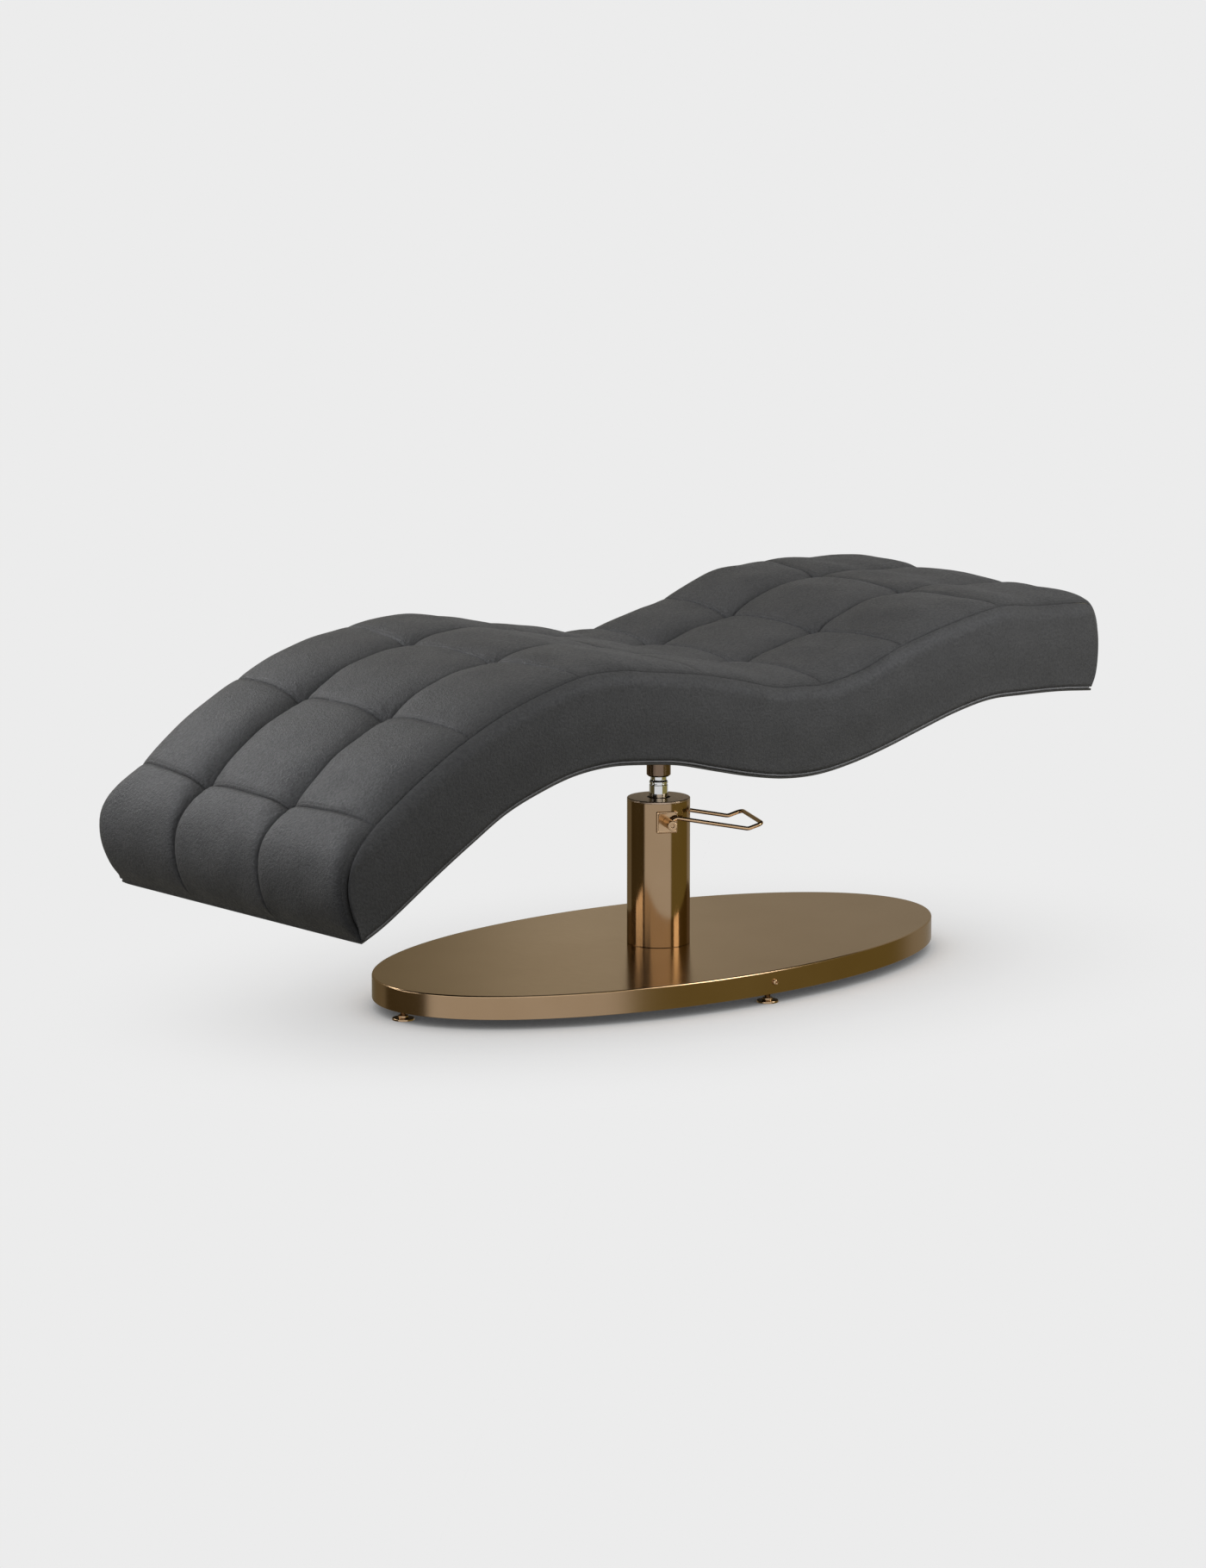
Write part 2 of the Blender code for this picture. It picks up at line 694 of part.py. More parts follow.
def make_pedal(pedal_axis):
    """Bent wire pedal that straddles the column, its two bosses and shafts, and the crank."""
    lay = Matrix.Rotation(math.radians(90), 3, "X")
    boss_start = column_radius + pad_proud + fit_gap
    boss_end = pedal_gauge / 2 + boss_overhang
    bore = shaft_diameter / 2 + fit_gap
    outer = boss_diameter / 2
    bore_end = boss_end - boss_end_wall
    recess = boss_screw_diameter / 2
    for side, end in ((-1, "front"), (1, "rear")):
        way = -side
        profile = [(bore, boss_start), (outer, boss_start), (outer, boss_end), (recess, boss_end),
                   (recess, boss_end - boss_screw_depth), (0.0, boss_end - boss_screw_depth), (0.0, bore_end),
                   (bore, bore_end)]
        turned(f"pedal_boss_{end}", [(radius, way * run) for radius, run in profile],
               gold(f"pedal_boss_{end}"), pedal_axis, 20, lay=lay)
        inner_end = plunger_offset - crank_width / 2
        shaft_end = bore_end - fit_gap
        low, high = sorted((way * inner_end, way * shaft_end))
        rod(f"pedal_shaft_{end}", shaft_diameter / 2, low, high, steel(f"pedal_shaft_{end}"),
            pedal_axis, 20, lay=lay)
    half = collar_width / 2
    ring("shaft_collar", bore, collar_diameter / 2, -plunger_offset - half, -plunger_offset + half,
         steel("shaft_collar"), pedal_axis, 20, lay=lay)
    make_crank(pedal_axis)
    make_pedal_bar(pedal_axis)


def make_crank(pedal_axis):
    """Finger on the front shaft that presses the plunger."""
    lay = Matrix.Rotation(math.radians(90), 3, "X")
    hub, nose = crank_hub_radius, crank_nose_radius
    root = math.asin(crank_web / 2 / hub)
    neck = math.pi - math.asin(crank_web / 2 / nose)
    steps = 12
    outline = []
    for k in range(steps + 1):
        angle = root + (math.tau - 2 * root) * k / steps
        outline.append(Vector((hub * math.cos(angle), hub * math.sin(angle))))
    for k in range(steps + 1):
        angle = -neck + 2 * neck * k / steps
        outline.append(Vector((crank_arm + nose * math.cos(angle), nose * math.sin(angle))))
    half = crank_width / 2
    crank = prism("pump_crank", outline, -plunger_offset - half, -plunger_offset + half,
                  steel("pump_crank"), pedal_axis)
    cutter = rod("crank_bore", shaft_diameter / 2 + fit_gap, plunger_offset - crank_width,
                 plunger_offset + crank_width, None, pedal_axis, 20, lay=lay)
    cut(crank, hide_cutter(cutter))


def make_pedal_bar(pedal_axis):
    """Six millimetre wire from boss to boss, with a toe bar across its end."""
    side = pedal_gauge / 2
    root = boss_diameter / 2 + fit_gap
    knee = Vector((pedal_knee_out, 0.0, pedal_knee_up))
    start = knee.normalized() * root
    heel = Vector((pedal_heel_out, 0.0, -pedal_heel_down))
    toe = Vector((pedal_toe_out, 0.0, -pedal_toe_down))
    half = [start, knee, heel, toe]
    front = [point + Vector((0.0, -side, 0.0)) for point in half]
    rear = [point + Vector((0.0, side, 0.0)) for point in reversed(half)]
    radii = [pedal_knee_radius, pedal_heel_radius, pedal_corner_radius]
    route = rounded(front + rear, radii + radii[::-1], 4)
    tube("pedal_bar", route, pedal_wire_diameter, 2, False, gold("pedal_bar"), pedal_axis)


def make_plunger_pump(pump, plunger_axis):
    """Block bored for the plunger, the sprung plunger and its coil spring."""
    half_depth = pump_block_depth / 2
    half_width = pump_block_width / 2
    low = (crank_arm - half_width, -plunger_offset - half_depth, flange_top + fit_gap)
    high = (crank_arm + half_width, -plunger_offset + half_depth, pump_block_top)
    body = block("pump_block", low, high, dark_steel("pump_block"), pump)
    radius = plunger_diameter / 2
    bore_bottom = pump_block_top - 2 * plunger_engaged
    cutter = rod("plunger_bore", radius + fit_gap, bore_bottom, pump_block_top + cut_overrun, None, pump, 16,
                 [(crank_arm, -plunger_offset, 0.0)])
    cut(body, hide_cutter(cutter))
    head_top = pedal_pivot_height - crank_nose_radius - fit_gap
    head_bottom = head_top - plunger_head_height
    head = plunger_head_diameter / 2
    bottom = pump_block_top - plunger_engaged
    profile = [(0.0, bottom), (radius, bottom), (radius, head_bottom), (head, head_bottom), (head, head_top),
               (0.0, head_top)]
    turned("pump_plunger", profile, steel("pump_plunger"), plunger_axis, 16)
    sides = 12
    reach = plunger_spring_diameter / 2
    start = pump_block_top + plunger_spring_wire / 2 + fit_gap
    rise = head_bottom - plunger_spring_wire / 2 - fit_gap - start
    steps = plunger_spring_turns * sides
    coil = []
    for k in range(steps + 1):
        angle = math.tau * k / sides
        coil.append((reach * math.cos(angle), reach * math.sin(angle), start + rise * k / steps))
    spring = tube("plunger_spring", coil, plunger_spring_wire, 0, False, steel("plunger_spring"), pump)
    spring.location = (crank_arm, -plunger_offset, 0.0)


# Bed: side view paths shared by all of its pieces

underside = smooth([place(x, z, 0.0) for x, z in underside_shares], 1)
board_top = offset(underside, board_thickness)
upholstery_bottom = offset(underside, board_thickness + piping_diameter + 2 * fit_gap)


def seam_path():
    """Seam-level outline of the upholstery from the foot corner over the top to the head corner."""
    foot = [place(*row) for row in foot_wrap_shares]
    top = [place(x, z, 1.0) for x, z in top_shares]
    head = [place(*row) for row in head_wrap_shares]
    return smooth([upholstery_bottom[0]] + foot + top + head + [upholstery_bottom[-1]], curve_steps)


seam = seam_path()
seam_run = lengths(seam)
first_top = 1 + len(foot_wrap_shares)
last_top = first_top + len(top_shares) - 1
top_line = seam[first_top * curve_steps:last_top * curve_steps + 1]
deck_top = offset(top_line, -cushion_depth)
deck_bottom = offset(top_line, -cushion_depth - fit_gap - deck_thickness)
frame_bottom = offset(underside, board_thickness + fit_gap)
frame_top = offset(top_line, -cushion_depth - 2 * fit_gap - deck_thickness)
foot_board_x = -(foot_reach - foot_board_setback)
head_board_x = head_reach - head_board_setback


def seat_plate_bottom():
    """Underside of the seat plate, just above the bolt heads that lie over the curved board."""
    half = seat_plate_length / 2
    highest = max(point.y for point in stretch(board_top, -half, half))
    return highest + seat_bolt_head_height + 2 * fit_gap


def make_seat(bed):
    """Sleeve, thrust washer, plate and bolts that carry the bed on the ram's neck."""
    bottom = seat_plate_bottom()
    top = bottom + seat_plate_thickness
    bore = sleeve_bore / 2
    outer = sleeve_outer_diameter / 2
    profile = [(bore, sleeve_bottom_height), (outer - sleeve_bevel, sleeve_bottom_height),
               (outer, sleeve_bottom_height + sleeve_bevel), (outer, bottom - fit_gap),
               (bore, bottom - fit_gap)]
    turned("socket_sleeve", profile, gold("socket_sleeve"), bed, 32)
    rod("thrust_washer", ram_neck_diameter / 2, bottom - washer_thickness - fit_gap, bottom - fit_gap,
        bronze("thrust_washer"), bed, 32)
    half_length = seat_plate_length / 2
    half_width = seat_plate_width / 2
    plate = block("seat_plate", (-half_length, -half_width, bottom), (half_length, half_width, top),
                  dark_steel("seat_plate"), bed)
    shank = seat_bolt_diameter / 2
    head = seat_bolt_head_diameter / 2
    seat = bottom - fit_gap
    profile = [(0.0, seat - seat_bolt_head_height), (head, seat - seat_bolt_head_height), (head, seat),
               (shank, seat), (shank, seat + seat_bolt_grip), (0.0, seat + seat_bolt_grip)]
    out_x = centre_rib_spacing / 2
    out_y = seat_bolt_spacing_y / 2
    spots = [(side_x * out_x, side_y * out_y, 0.0) for side_x in (-1, 1) for side_y in (-1, 1)]
    for number, spot in enumerate(spots, start=1):
        turned(f"seat_bolt_{number}", profile, steel(f"seat_bolt_{number}"), bed, 12, [spot])
    cutter = rod("seat_bores", shank + fit_gap, seat - cut_overrun, seat + seat_bolt_grip + fit_gap,
                 None, bed, 12, spots)
    cut(plate, hide_cutter(cutter))
    return top, cutter


def make_frame(bed, plate_top, bolt_cutter):
    """Plywood rails, ribs, end boards and deck between the bottom board and the foam."""
    board = band("bottom_board", underside, board_top, -half_bed + board_inset, half_bed - board_inset,
                 finish_of("bottom_board", (0.015, 0.015, 0.015), 0.6, 0.0), bed)
    cutter = rod("sleeve_way", sleeve_outer_diameter / 2 + fit_gap, sleeve_bottom_height, plate_top,
                 None, bed, 32)
    cut(board, hide_cutter(cutter))
    foot_inside = foot_board_x + end_board_thickness
    head_inside = head_board_x - end_board_thickness
    rail_outer = half_inner
    rail_inner = rail_outer - rail_thickness
    for name, side in (("side_rail_left", -1), ("side_rail_right", 1)):
        low, high = sorted((side * rail_inner, side * rail_outer))
        x0, x1 = foot_inside + fit_gap, head_inside - fit_gap
        band(name, stretch(frame_bottom, x0, x1), stretch(frame_top, x0, x1), low, high, plywood(name), bed)
    end_boards = (("foot_end_board", foot_board_x, foot_inside),
                  ("head_end_board", head_inside, head_board_x))
    for name, x0, x1 in end_boards:
        band(name, stretch(frame_bottom, x0, x1), stretch(frame_top, x0, x1), -rail_outer, rail_outer,
             plywood(name), bed)
    x0, x1 = foot_board_x, head_board_x
    band("top_deck", stretch(deck_bottom, x0, x1), stretch(deck_top, x0, x1), -rail_outer, rail_outer,
         plywood("top_deck"), bed)
    half = rib_thickness / 2
    across = rail_inner - fit_gap
    for number, share in enumerate(rib_place_shares, start=1):
        x = reach_of(share)
        name = f"cross_rib_{number}"
        band(name, stretch(frame_bottom, x - half, x + half), stretch(frame_top, x - half, x + half),
             -across, across, plywood(name), bed)
    for name, x in (("seat_rib_foot", -centre_rib_spacing / 2), ("seat_rib_head", centre_rib_spacing / 2)):
        foot_line = [Vector((x - half, plate_top + fit_gap)), Vector((x + half, plate_top + fit_gap))]
        head_line = stretch(frame_top, x - half, x + half)
        rib = band(name, foot_line, head_line, -across, across, plywood(name), bed)
        cut(rib, bolt_cutter)


def tuft_places():
    """Lines of the cushion's grid: distance along the seam path, share of its tuft, and its rise."""
    top_start = first_top * curve_steps
    top_run = lengths(top_line)
    marks = [0.0]
    for share in row_seam_shares:
        x = reach_of(share)
        index = sum(1 for point in top_line if point.x < x) - 1
        a, b = top_line[max(index, 0)], top_line[max(index, 0) + 1]
        marks.append(seam_run[top_start] + top_run[max(index, 0)] + (x - a.x) / (b.x - a.x) * (b - a).length)
    marks.append(seam_run[(last_top + 1) * curve_steps])
    marks.append(seam_run[-1])
    places = []
    for low, high in zip(marks, marks[1:]):
        rise = end_tuft_rise if low == marks[0] or high == marks[-1] else tuft_rise
        for k in range(stations_per_row):
            share = k / stations_per_row
            places.append((low + (high - low) * share, share, rise))
    return places + [(marks[-1], 1.0, end_tuft_rise)]


def puff(share):
    """Rise of a tuft across one of its sides: steep at its seams and flat on top."""
    return (4 * share * (1 - share)) ** puff_power


def make_cover(bed):
    """Quilted leather cover: a grid of tufts over the top and both ends, plain inside."""
    column_width = bed_width / 3
    edge = half_inner
    across = []
    for column in range(3):
        low = max(-edge, (column - 1.5) * column_width)
        high = min(edge, (column - 0.5) * column_width)
        for k in range(stations_per_column):
            share = k / stations_per_column
            across.append((low + (high - low) * share, share))
    across.append((edge, 1.0))
    bm = bmesh.new()
    grid = []
    places = tuft_places()
    for index, (distance, row_share, rise) in enumerate(places):
        point, normal = along(seam, seam_run, distance)
        at_end = index in (0, len(places) - 1)
        crown = 0.0 if at_end or rise == end_tuft_rise else crown_rise
        fullness = seam_fullness_share + (1 - seam_fullness_share) * puff(row_share)
        line = []
        for y, column_share in across:
            lift = 0.0 if at_end else rise * puff(column_share) * fullness
            spot = point + normal * (lift + (0.0 if abs(y) == edge else crown))
            line.append(bm.verts.new((spot.x, y, spot.y)))
        grid.append(line)
    for low, high in zip(grid, grid[1:]):
        for i in range(len(low) - 1):
            bm.faces.new((low[i], low[i + 1], high[i + 1], high[i]))
    hollow = cut_to_bottom(offset(seam, -cover_thickness))
    inside = [[bm.verts.new((point.x, y, point.y)) for y in (-edge, edge)] for point in hollow]
    for low, high in zip(inside, inside[1:]):
        bm.faces.new((low[0], low[1], high[1], high[0]))
    for side in (0, -1):
        outer = [line[side] for line in grid]
        bm.faces.new(outer + [pair[side] for pair in reversed(inside)])
    bm.faces.new(grid[0] + [inside[0][1], inside[0][0]])
    bm.faces.new(grid[-1] + [inside[-1][1], inside[-1][0]])
    return add_object("quilted_cover", bm, leather("quilted_cover"), bed)


def cut_to_bottom(path):
    """A path inside the seam path, with its two ends moved down onto the upholstery's bottom line."""
    first = Vector((path[0].x, level(upholstery_bottom, path[0].x)))
    last = Vector((path[-1].x, level(upholstery_bottom, path[-1].x)))
    return [first] + path[1:-1] + [last]


def make_foam(bed):
    """Foam core under the cover, wrapped over the deck and down both end boards."""
    x0, x1 = foot_board_x - fit_gap, head_board_x + fit_gap
    inner = [Vector((x0, level(upholstery_bottom, x0)))] + stretch(offset(deck_top, fit_gap), x0, x1)
    inner.append(Vector((x1, level(upholstery_bottom, x1))))
    outer = cut_to_bottom(offset(seam, -cover_thickness - fit_gap))
    return prism("foam_core", outer + inner[::-1], -half_inner, half_inner,
                 finish_of("foam_core", (0.72, 0.68, 0.52), 0.9, 0.0), bed)


def make_side_panels(bed):
    """Padded leather sides, rolled over at the top and at both ends, square along the bottom."""
    run = [distance for distance, _, _ in tuft_places()]
    path = [along(seam, seam_run, distance) for distance in run]
    bottom = upholstery_bottom[1:-1][::-1]
    steps = 3
    for name, side in (("side_panel_left", -1), ("side_panel_right", 1)):
        bm = bmesh.new()
        flat = side_panel_thickness - side_roll_radius
        rings = [(0.0, half_bed - side_panel_thickness)]
        for k in range(steps + 1):
            angle = math.pi / 2 * k / steps
            rings.append((side_roll_radius * (1 - math.cos(angle)),
                          half_bed - side_panel_thickness + flat + side_roll_radius * math.sin(angle)))
        loops = []
        for inset, y in rings:
            loop = []
            for (point, normal), distance in zip(path, run):
                to_corner = min(distance, run[-1] - distance)
                ease = min(1.0, to_corner / (2 * side_roll_radius))
                spot = point - normal * inset * ease
                loop.append((spot.x, side * y, spot.y))
            loops.append(loop + [(point.x, side * y, point.y) for point in bottom])
        rows = lofted(bm, loops, closed=False)
        bm.faces.new(rows[0])
        bm.faces.new(rows[-1])
        add_object(name, bm, leather(name), bed)


def make_piping(bed):
    """Light cord sewn round the bottom edge, between the board and the upholstery."""
    line = offset(underside, board_thickness + fit_gap + piping_diameter / 2)
    y = half_bed - piping_diameter / 2
    turn = piping_corner_radius
    sides = stretch(line, line[0].x + turn, line[-1].x - turn)
    steps = 3
    loop = []
    for side, points in ((-1, sides), (1, sides[::-1])):
        loop += [(point.x, side * y, point.y) for point in points]
        end_x = points[-1].x
        way = math.copysign(1.0, -side)
        for k in range(1, steps + 1):
            angle = math.pi / 2 * k / steps
            x = end_x + way * turn * math.sin(angle)
            loop.append((x, side * (y - turn * (1 - math.cos(angle))), level(line, x)))
        for k in range(steps, 0, -1):
            angle = math.pi / 2 * k / steps
            x = end_x + way * turn * math.sin(angle)
            loop.append((x, -side * (y - turn * (1 - math.cos(angle))), level(line, x)))
    tube("piping", loop, piping_diameter, 1, True, finish_of("piping", (0.45, 0.45, 0.45), 0.5, 0.0), bed)


def build():
    clear_scene()
    column = axis_empty("column_axis", (column_x, 0.0, 0.0))
    pump = axis_empty("pump_frame", (0.0, 0.0, 0.0), pedal_turn, column)
    cover = make_base_cover(column)
    ballast = make_ballast(column)
    make_feet(column)
    make_base_cross(column, cover)
    shaft_way = make_column(column, pump)
    make_pump(column, pump, ballast)
    make_pedal_bearings(pump, shaft_way)
    plunger_axis = axis_empty("plunger_axis", (crank_arm, -plunger_offset, 0.0), parent=pump)
    make_plunger_pump(pump, plunger_axis)
    make_pedal(axis_empty("pedal_axis", (0.0, 0.0, pedal_pivot_height), parent=pump))
    ram_axis = axis_empty("ram_axis", (0.0, 0.0, 0.0), parent=column)
    make_ram(ram_axis)
    bed = axis_empty("bed_axis", (0.0, 0.0, 0.0), parent=ram_axis)
    plate_top, bolt_cutter = make_seat(bed)
    make_frame(bed, plate_top, bolt_cutter)
    make_cover(bed)
    make_foam(bed)
    make_side_panels(bed)
    make_piping(bed)


build()
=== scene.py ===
import math

import bmesh
import bpy
import numpy as np
from mathutils import Matrix, Vector


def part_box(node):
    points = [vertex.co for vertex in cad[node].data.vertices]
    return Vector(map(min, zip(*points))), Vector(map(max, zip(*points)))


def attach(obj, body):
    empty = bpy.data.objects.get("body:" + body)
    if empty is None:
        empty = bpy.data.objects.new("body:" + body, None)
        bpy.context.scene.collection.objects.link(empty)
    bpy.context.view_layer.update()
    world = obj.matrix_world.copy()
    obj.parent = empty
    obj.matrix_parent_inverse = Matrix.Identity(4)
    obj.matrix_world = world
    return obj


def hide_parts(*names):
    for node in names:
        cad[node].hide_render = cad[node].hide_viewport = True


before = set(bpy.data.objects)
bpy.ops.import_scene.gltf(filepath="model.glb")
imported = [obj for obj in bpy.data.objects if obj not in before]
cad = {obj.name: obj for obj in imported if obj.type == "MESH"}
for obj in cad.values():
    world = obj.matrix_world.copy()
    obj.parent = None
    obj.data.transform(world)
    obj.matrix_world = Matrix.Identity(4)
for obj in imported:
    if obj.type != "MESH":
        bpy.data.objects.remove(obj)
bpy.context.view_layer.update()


# Base plate. A flat oval shell spun from 3 mm steel and plated in satin bronze gold. Its top edge
# is turned over to a small radius, its rim stands clear of the floor, and it is open underneath.

mm = 0.001
column_x = 0.1075
gold_colour = (0.37, 0.257, 0.158, 1.0)
gold_shadow = (0.34, 0.23, 0.135, 1.0)
gold_edge = (0.66, 0.60, 0.50, 1.0)


def effect(name, inputs, outputs):
    """Node group with named float, colour and vector sockets, and its two end nodes."""
    tree = bpy.data.node_groups.new(name, "ShaderNodeTree")
    for in_out, sockets in (("INPUT", inputs), ("OUTPUT", outputs)):
        for label, kind, value in sockets:
            socket = tree.interface.new_socket(label, in_out=in_out, socket_type="NodeSocket" + kind)
            if value is not None:
                socket.default_value = value
    return tree, tree.nodes.new("NodeGroupInput"), tree.nodes.new("NodeGroupOutput")


def node(tree, kind, links=(), **values):
    """Node with plain values on its attributes or sockets, and its inputs linked."""
    made = tree.nodes.new("ShaderNode" + kind)
    for key, value in values.items():
        if key.startswith("in_"):
            made.inputs[int(key[3:])].default_value = value
        else:
            setattr(made, key, value)
    for index, source in links:
        tree.links.new(source, made.inputs[index])
    return made


def ramp(tree, source, stops):
    """Colour ramp over a value, from pairs of place and colour or grey."""
    made = node(tree, "ValToRGB", [(0, source)])
    points = made.color_ramp.elements
    while len(points) < len(stops):
        points.new(1.0)
    for point, (place, colour) in zip(points, stops):
        point.position = place
        point.color = colour if isinstance(colour, tuple) else (colour, colour, colour, 1.0)
    return made.outputs[0]


def noise(tree, place, scale, detail):
    """Noise texture over a place, its scale a number or a socket."""
    made = node(tree, "TexNoise", [(0, place)])
    made.inputs["Detail"].default_value = detail
    if isinstance(scale, float):
        made.inputs["Scale"].default_value = scale
    else:
        tree.links.new(scale, made.inputs["Scale"])
    return made


def finish(name, colour, roughness, metallic=0.0, **sockets):
    """Material with its shader, and the coordinates of the piece it lies on."""
    material = bpy.data.materials.new(name)
    material.use_nodes = True
    tree = material.node_tree
    shader = tree.nodes["Principled BSDF"]
    values = {"Base Color": colour, "Roughness": roughness, "Metallic": metallic, **sockets}
    for key, value in values.items():
        shader.inputs[key.replace("_", " ")].default_value = value
    place = tree.nodes.new("ShaderNodeTexCoord").outputs["Object"]
    return material, tree, shader, place


def broken_gloss(tree, shader, mask, at_low, at_high):
    """Roughness that follows a noise mask between two values."""
    gloss = node(tree, "MapRange", [(0, mask)], in_1=0.3, in_2=0.7, in_3=at_low, in_4=at_high)
    tree.links.new(gloss.outputs[0], shader.inputs["Roughness"])


def fine_relief(tree, shader, mask, strength, depth):
    """Bump that lifts the surface by a mask."""
    bump = node(tree, "Bump", [(3, mask)])
    bump.inputs["Strength"].default_value = strength
    bump.inputs["Distance"].default_value = depth
    tree.links.new(bump.outputs[0], shader.inputs["Normal"])


def brushed_effect():
    """Fine grinding lines along one axis, and slow clouding of the plating."""
    inputs = [("Place", "Vector", None), ("Lines", "Vector", (1.0, 1.0, 1.0)), ("Cloud", "Float", 6.0)]
    tree, start, end = effect("brushed_plating", inputs, [("Line", "Float", None), ("Cloud", "Float", None)])
    place, lines, cloud = start.outputs[:3]
    stretched = node(tree, "VectorMath", [(0, place), (1, lines)], operation="MULTIPLY")
    tree.links.new(noise(tree, stretched.outputs[0], 1.0, 4.0).outputs[0], end.inputs[0])
    tree.links.new(noise(tree, place, cloud, 3.0).outputs[0], end.inputs[1])
    return tree


brushed_plating = brushed_effect()


def plated(name, colour, shade, roughness, lines, spread=0.07, relief=0.06):
    """Satin plated metal: base colour clouds between two tones, and fine lines break the gloss."""
    material, tree, shader, place = finish(name, colour, roughness, 1.0, Specular_Tint=gold_edge)
    group = node(tree, "Group", node_tree=brushed_plating)
    tree.links.new(place, group.inputs[0])
    group.inputs[1].default_value = lines
    tone = ramp(tree, group.outputs[1], [(0.3, shade), (0.7, colour)])
    tree.links.new(tone, shader.inputs["Base Color"])
    broken_gloss(tree, shader, group.outputs[0], roughness - spread / 2, roughness + spread / 2)
    fine_relief(tree, shader, group.outputs[0], relief, 0.05 * mm)
    return material


gold_plate = plated("satin_gold_plate", gold_colour, gold_shadow, 0.20, (900.0, 40.0, 900.0), 0.04, 0.03)


def add_piece(name, verts, faces, material, body, slot, stands_for=(), corner=35, shade=None):
    """Smooth-shaded mesh piece that rides on a body and stands for CAD nodes."""
    mesh = bpy.data.meshes.new(name)
    mesh.from_pydata([tuple(v) for v in verts], [], [tuple(f) for f in faces])
    # The shade values become the seam_shade attribute, the mask of painted shade in the leather's seam folds.
    if shade is not None:
        mesh.attributes.new("seam_shade", "FLOAT", "POINT").data.foreach_set("value", shade)
    mesh.validate()
    bm = bmesh.new()
    bm.from_mesh(mesh)
    bmesh.ops.remove_doubles(bm, verts=bm.verts, dist=0.01 * mm)
    bmesh.ops.dissolve_degenerate(bm, edges=bm.edges, dist=0.01 * mm)
    bmesh.ops.recalc_face_normals(bm, faces=bm.faces)
    bm.to_mesh(mesh)
    bm.free()
    mesh.shade_smooth()
    mesh.set_sharp_from_angle(angle=math.radians(corner))
    mesh.materials.append(material)
    item = bpy.data.objects.new(name, mesh)
    bpy.context.scene.collection.objects.link(item)
    if corner < 100:
        item.modifiers.new("flat faces stay flat", "WEIGHTED_NORMAL").keep_sharp = True
    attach(item, body)
    if stands_for:
        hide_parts(*stands_for)
    return item


def loft(rings, wrap_rings=True, wrap_points=True):
    """Vertices and quads over rings with equal numbers of points."""
    rings = np.asarray(rings, float)
    count, points = rings.shape[:2]
    faces = []
    for i in range(count if wrap_rings else count - 1):
        j = (i + 1) % count
        for k in range(points if wrap_points else points - 1):
            m = (k + 1) % points
            faces.append((i * points + k, i * points + m, j * points + m, j * points + k))
    return rings.reshape(-1, 3), faces


def corner_arc(before, corner, after, radius, steps):
    """Points of the arc that rounds the corner between two straight runs."""
    before, corner, after = Vector(before), Vector(corner), Vector(after)
    if radius <= 0:
        return [corner]
    inwards = (before - corner).normalized()
    onwards = (after - corner).normalized()
    half = inwards.angle(onwards) / 2
    reach = radius / math.tan(half)
    centre = corner + (inwards + onwards).normalized() * radius / math.sin(half)
    first = (corner + inwards * reach - centre).normalized()
    last = (corner + onwards * reach - centre).normalized()
    return [centre + radius * first.slerp(last, k / steps) for k in range(steps + 1)]


def softened(corners, radii, steps):
    """Closed outline whose corners are rounded to their radii."""
    route = []
    for i, radius in enumerate(radii):
        after = corners[(i + 1) % len(corners)]
        route += corner_arc(corners[i - 1], corners[i], after, radius, steps)
    return route


plate_half_length = 0.6203
plate_half_width = 0.3260
plate_top = 0.0615
plate_rim_bottom = 0.0185
plate_wall = 0.003
plate_hole = 0.0550
plate_edge = 0.003
plate_lip = 0.0008
plate_steps = 288
at_hole = 0.2


def plate_rings():
    """Ovals at their insets from the rim, and the round hole under the column."""
    under_top = plate_top - plate_wall
    outline = softened([(0.0, plate_rim_bottom), (0.0, plate_top), (at_hole, plate_top), (at_hole, under_top),
                        (plate_wall, under_top), (plate_wall, plate_rim_bottom)],
                       [plate_lip, plate_edge, 0.0, 0.0, 0.0, plate_lip], 6)
    angles = np.linspace(0, math.tau, plate_steps, endpoint=False)
    rings = []
    for inset, height in outline:
        half_length, half_width = plate_half_length - inset, plate_half_width - inset
        if inset > at_hole / 2:
            half_length = half_width = plate_hole
        rings.append(np.stack([column_x + half_length * np.cos(angles), half_width * np.sin(angles),
                               np.full(plate_steps, height)], 1))
    return rings


add_piece("base_plate", *loft(plate_rings()), gold_plate, "base", "gold_steel", ["base_cover"])


# Levelling feet. Each is a flat turned disc on a threaded stud that screws up into the base, so
# that the plate stands level on any floor.

foot_disc_radius = 0.020
foot_disc_thickness = 0.004
foot_collar_radius = 0.0095
foot_collar_top = 0.0085
stud_core_radius = 0.0050
stud_thread_radius = 0.00575
stud_thread_pitch = 0.00175
foot_spread_long = 0.598
foot_spread_across = 0.306


def turned(outline, centre=(0.0, 0.0, 0.0), steps=96, lay=None):
    """Rings of a turned piece from its closed outline of radius and height."""
    angles = np.linspace(0, math.tau, steps, endpoint=False)
    rings = []
    for radius, height in outline:
        ring = np.stack([radius * np.cos(angles), radius * np.sin(angles), np.full(steps, height)], 1)
        if lay is not None:
            ring = ring @ np.array(lay).T
        rings.append(ring + np.array(centre))
    return rings


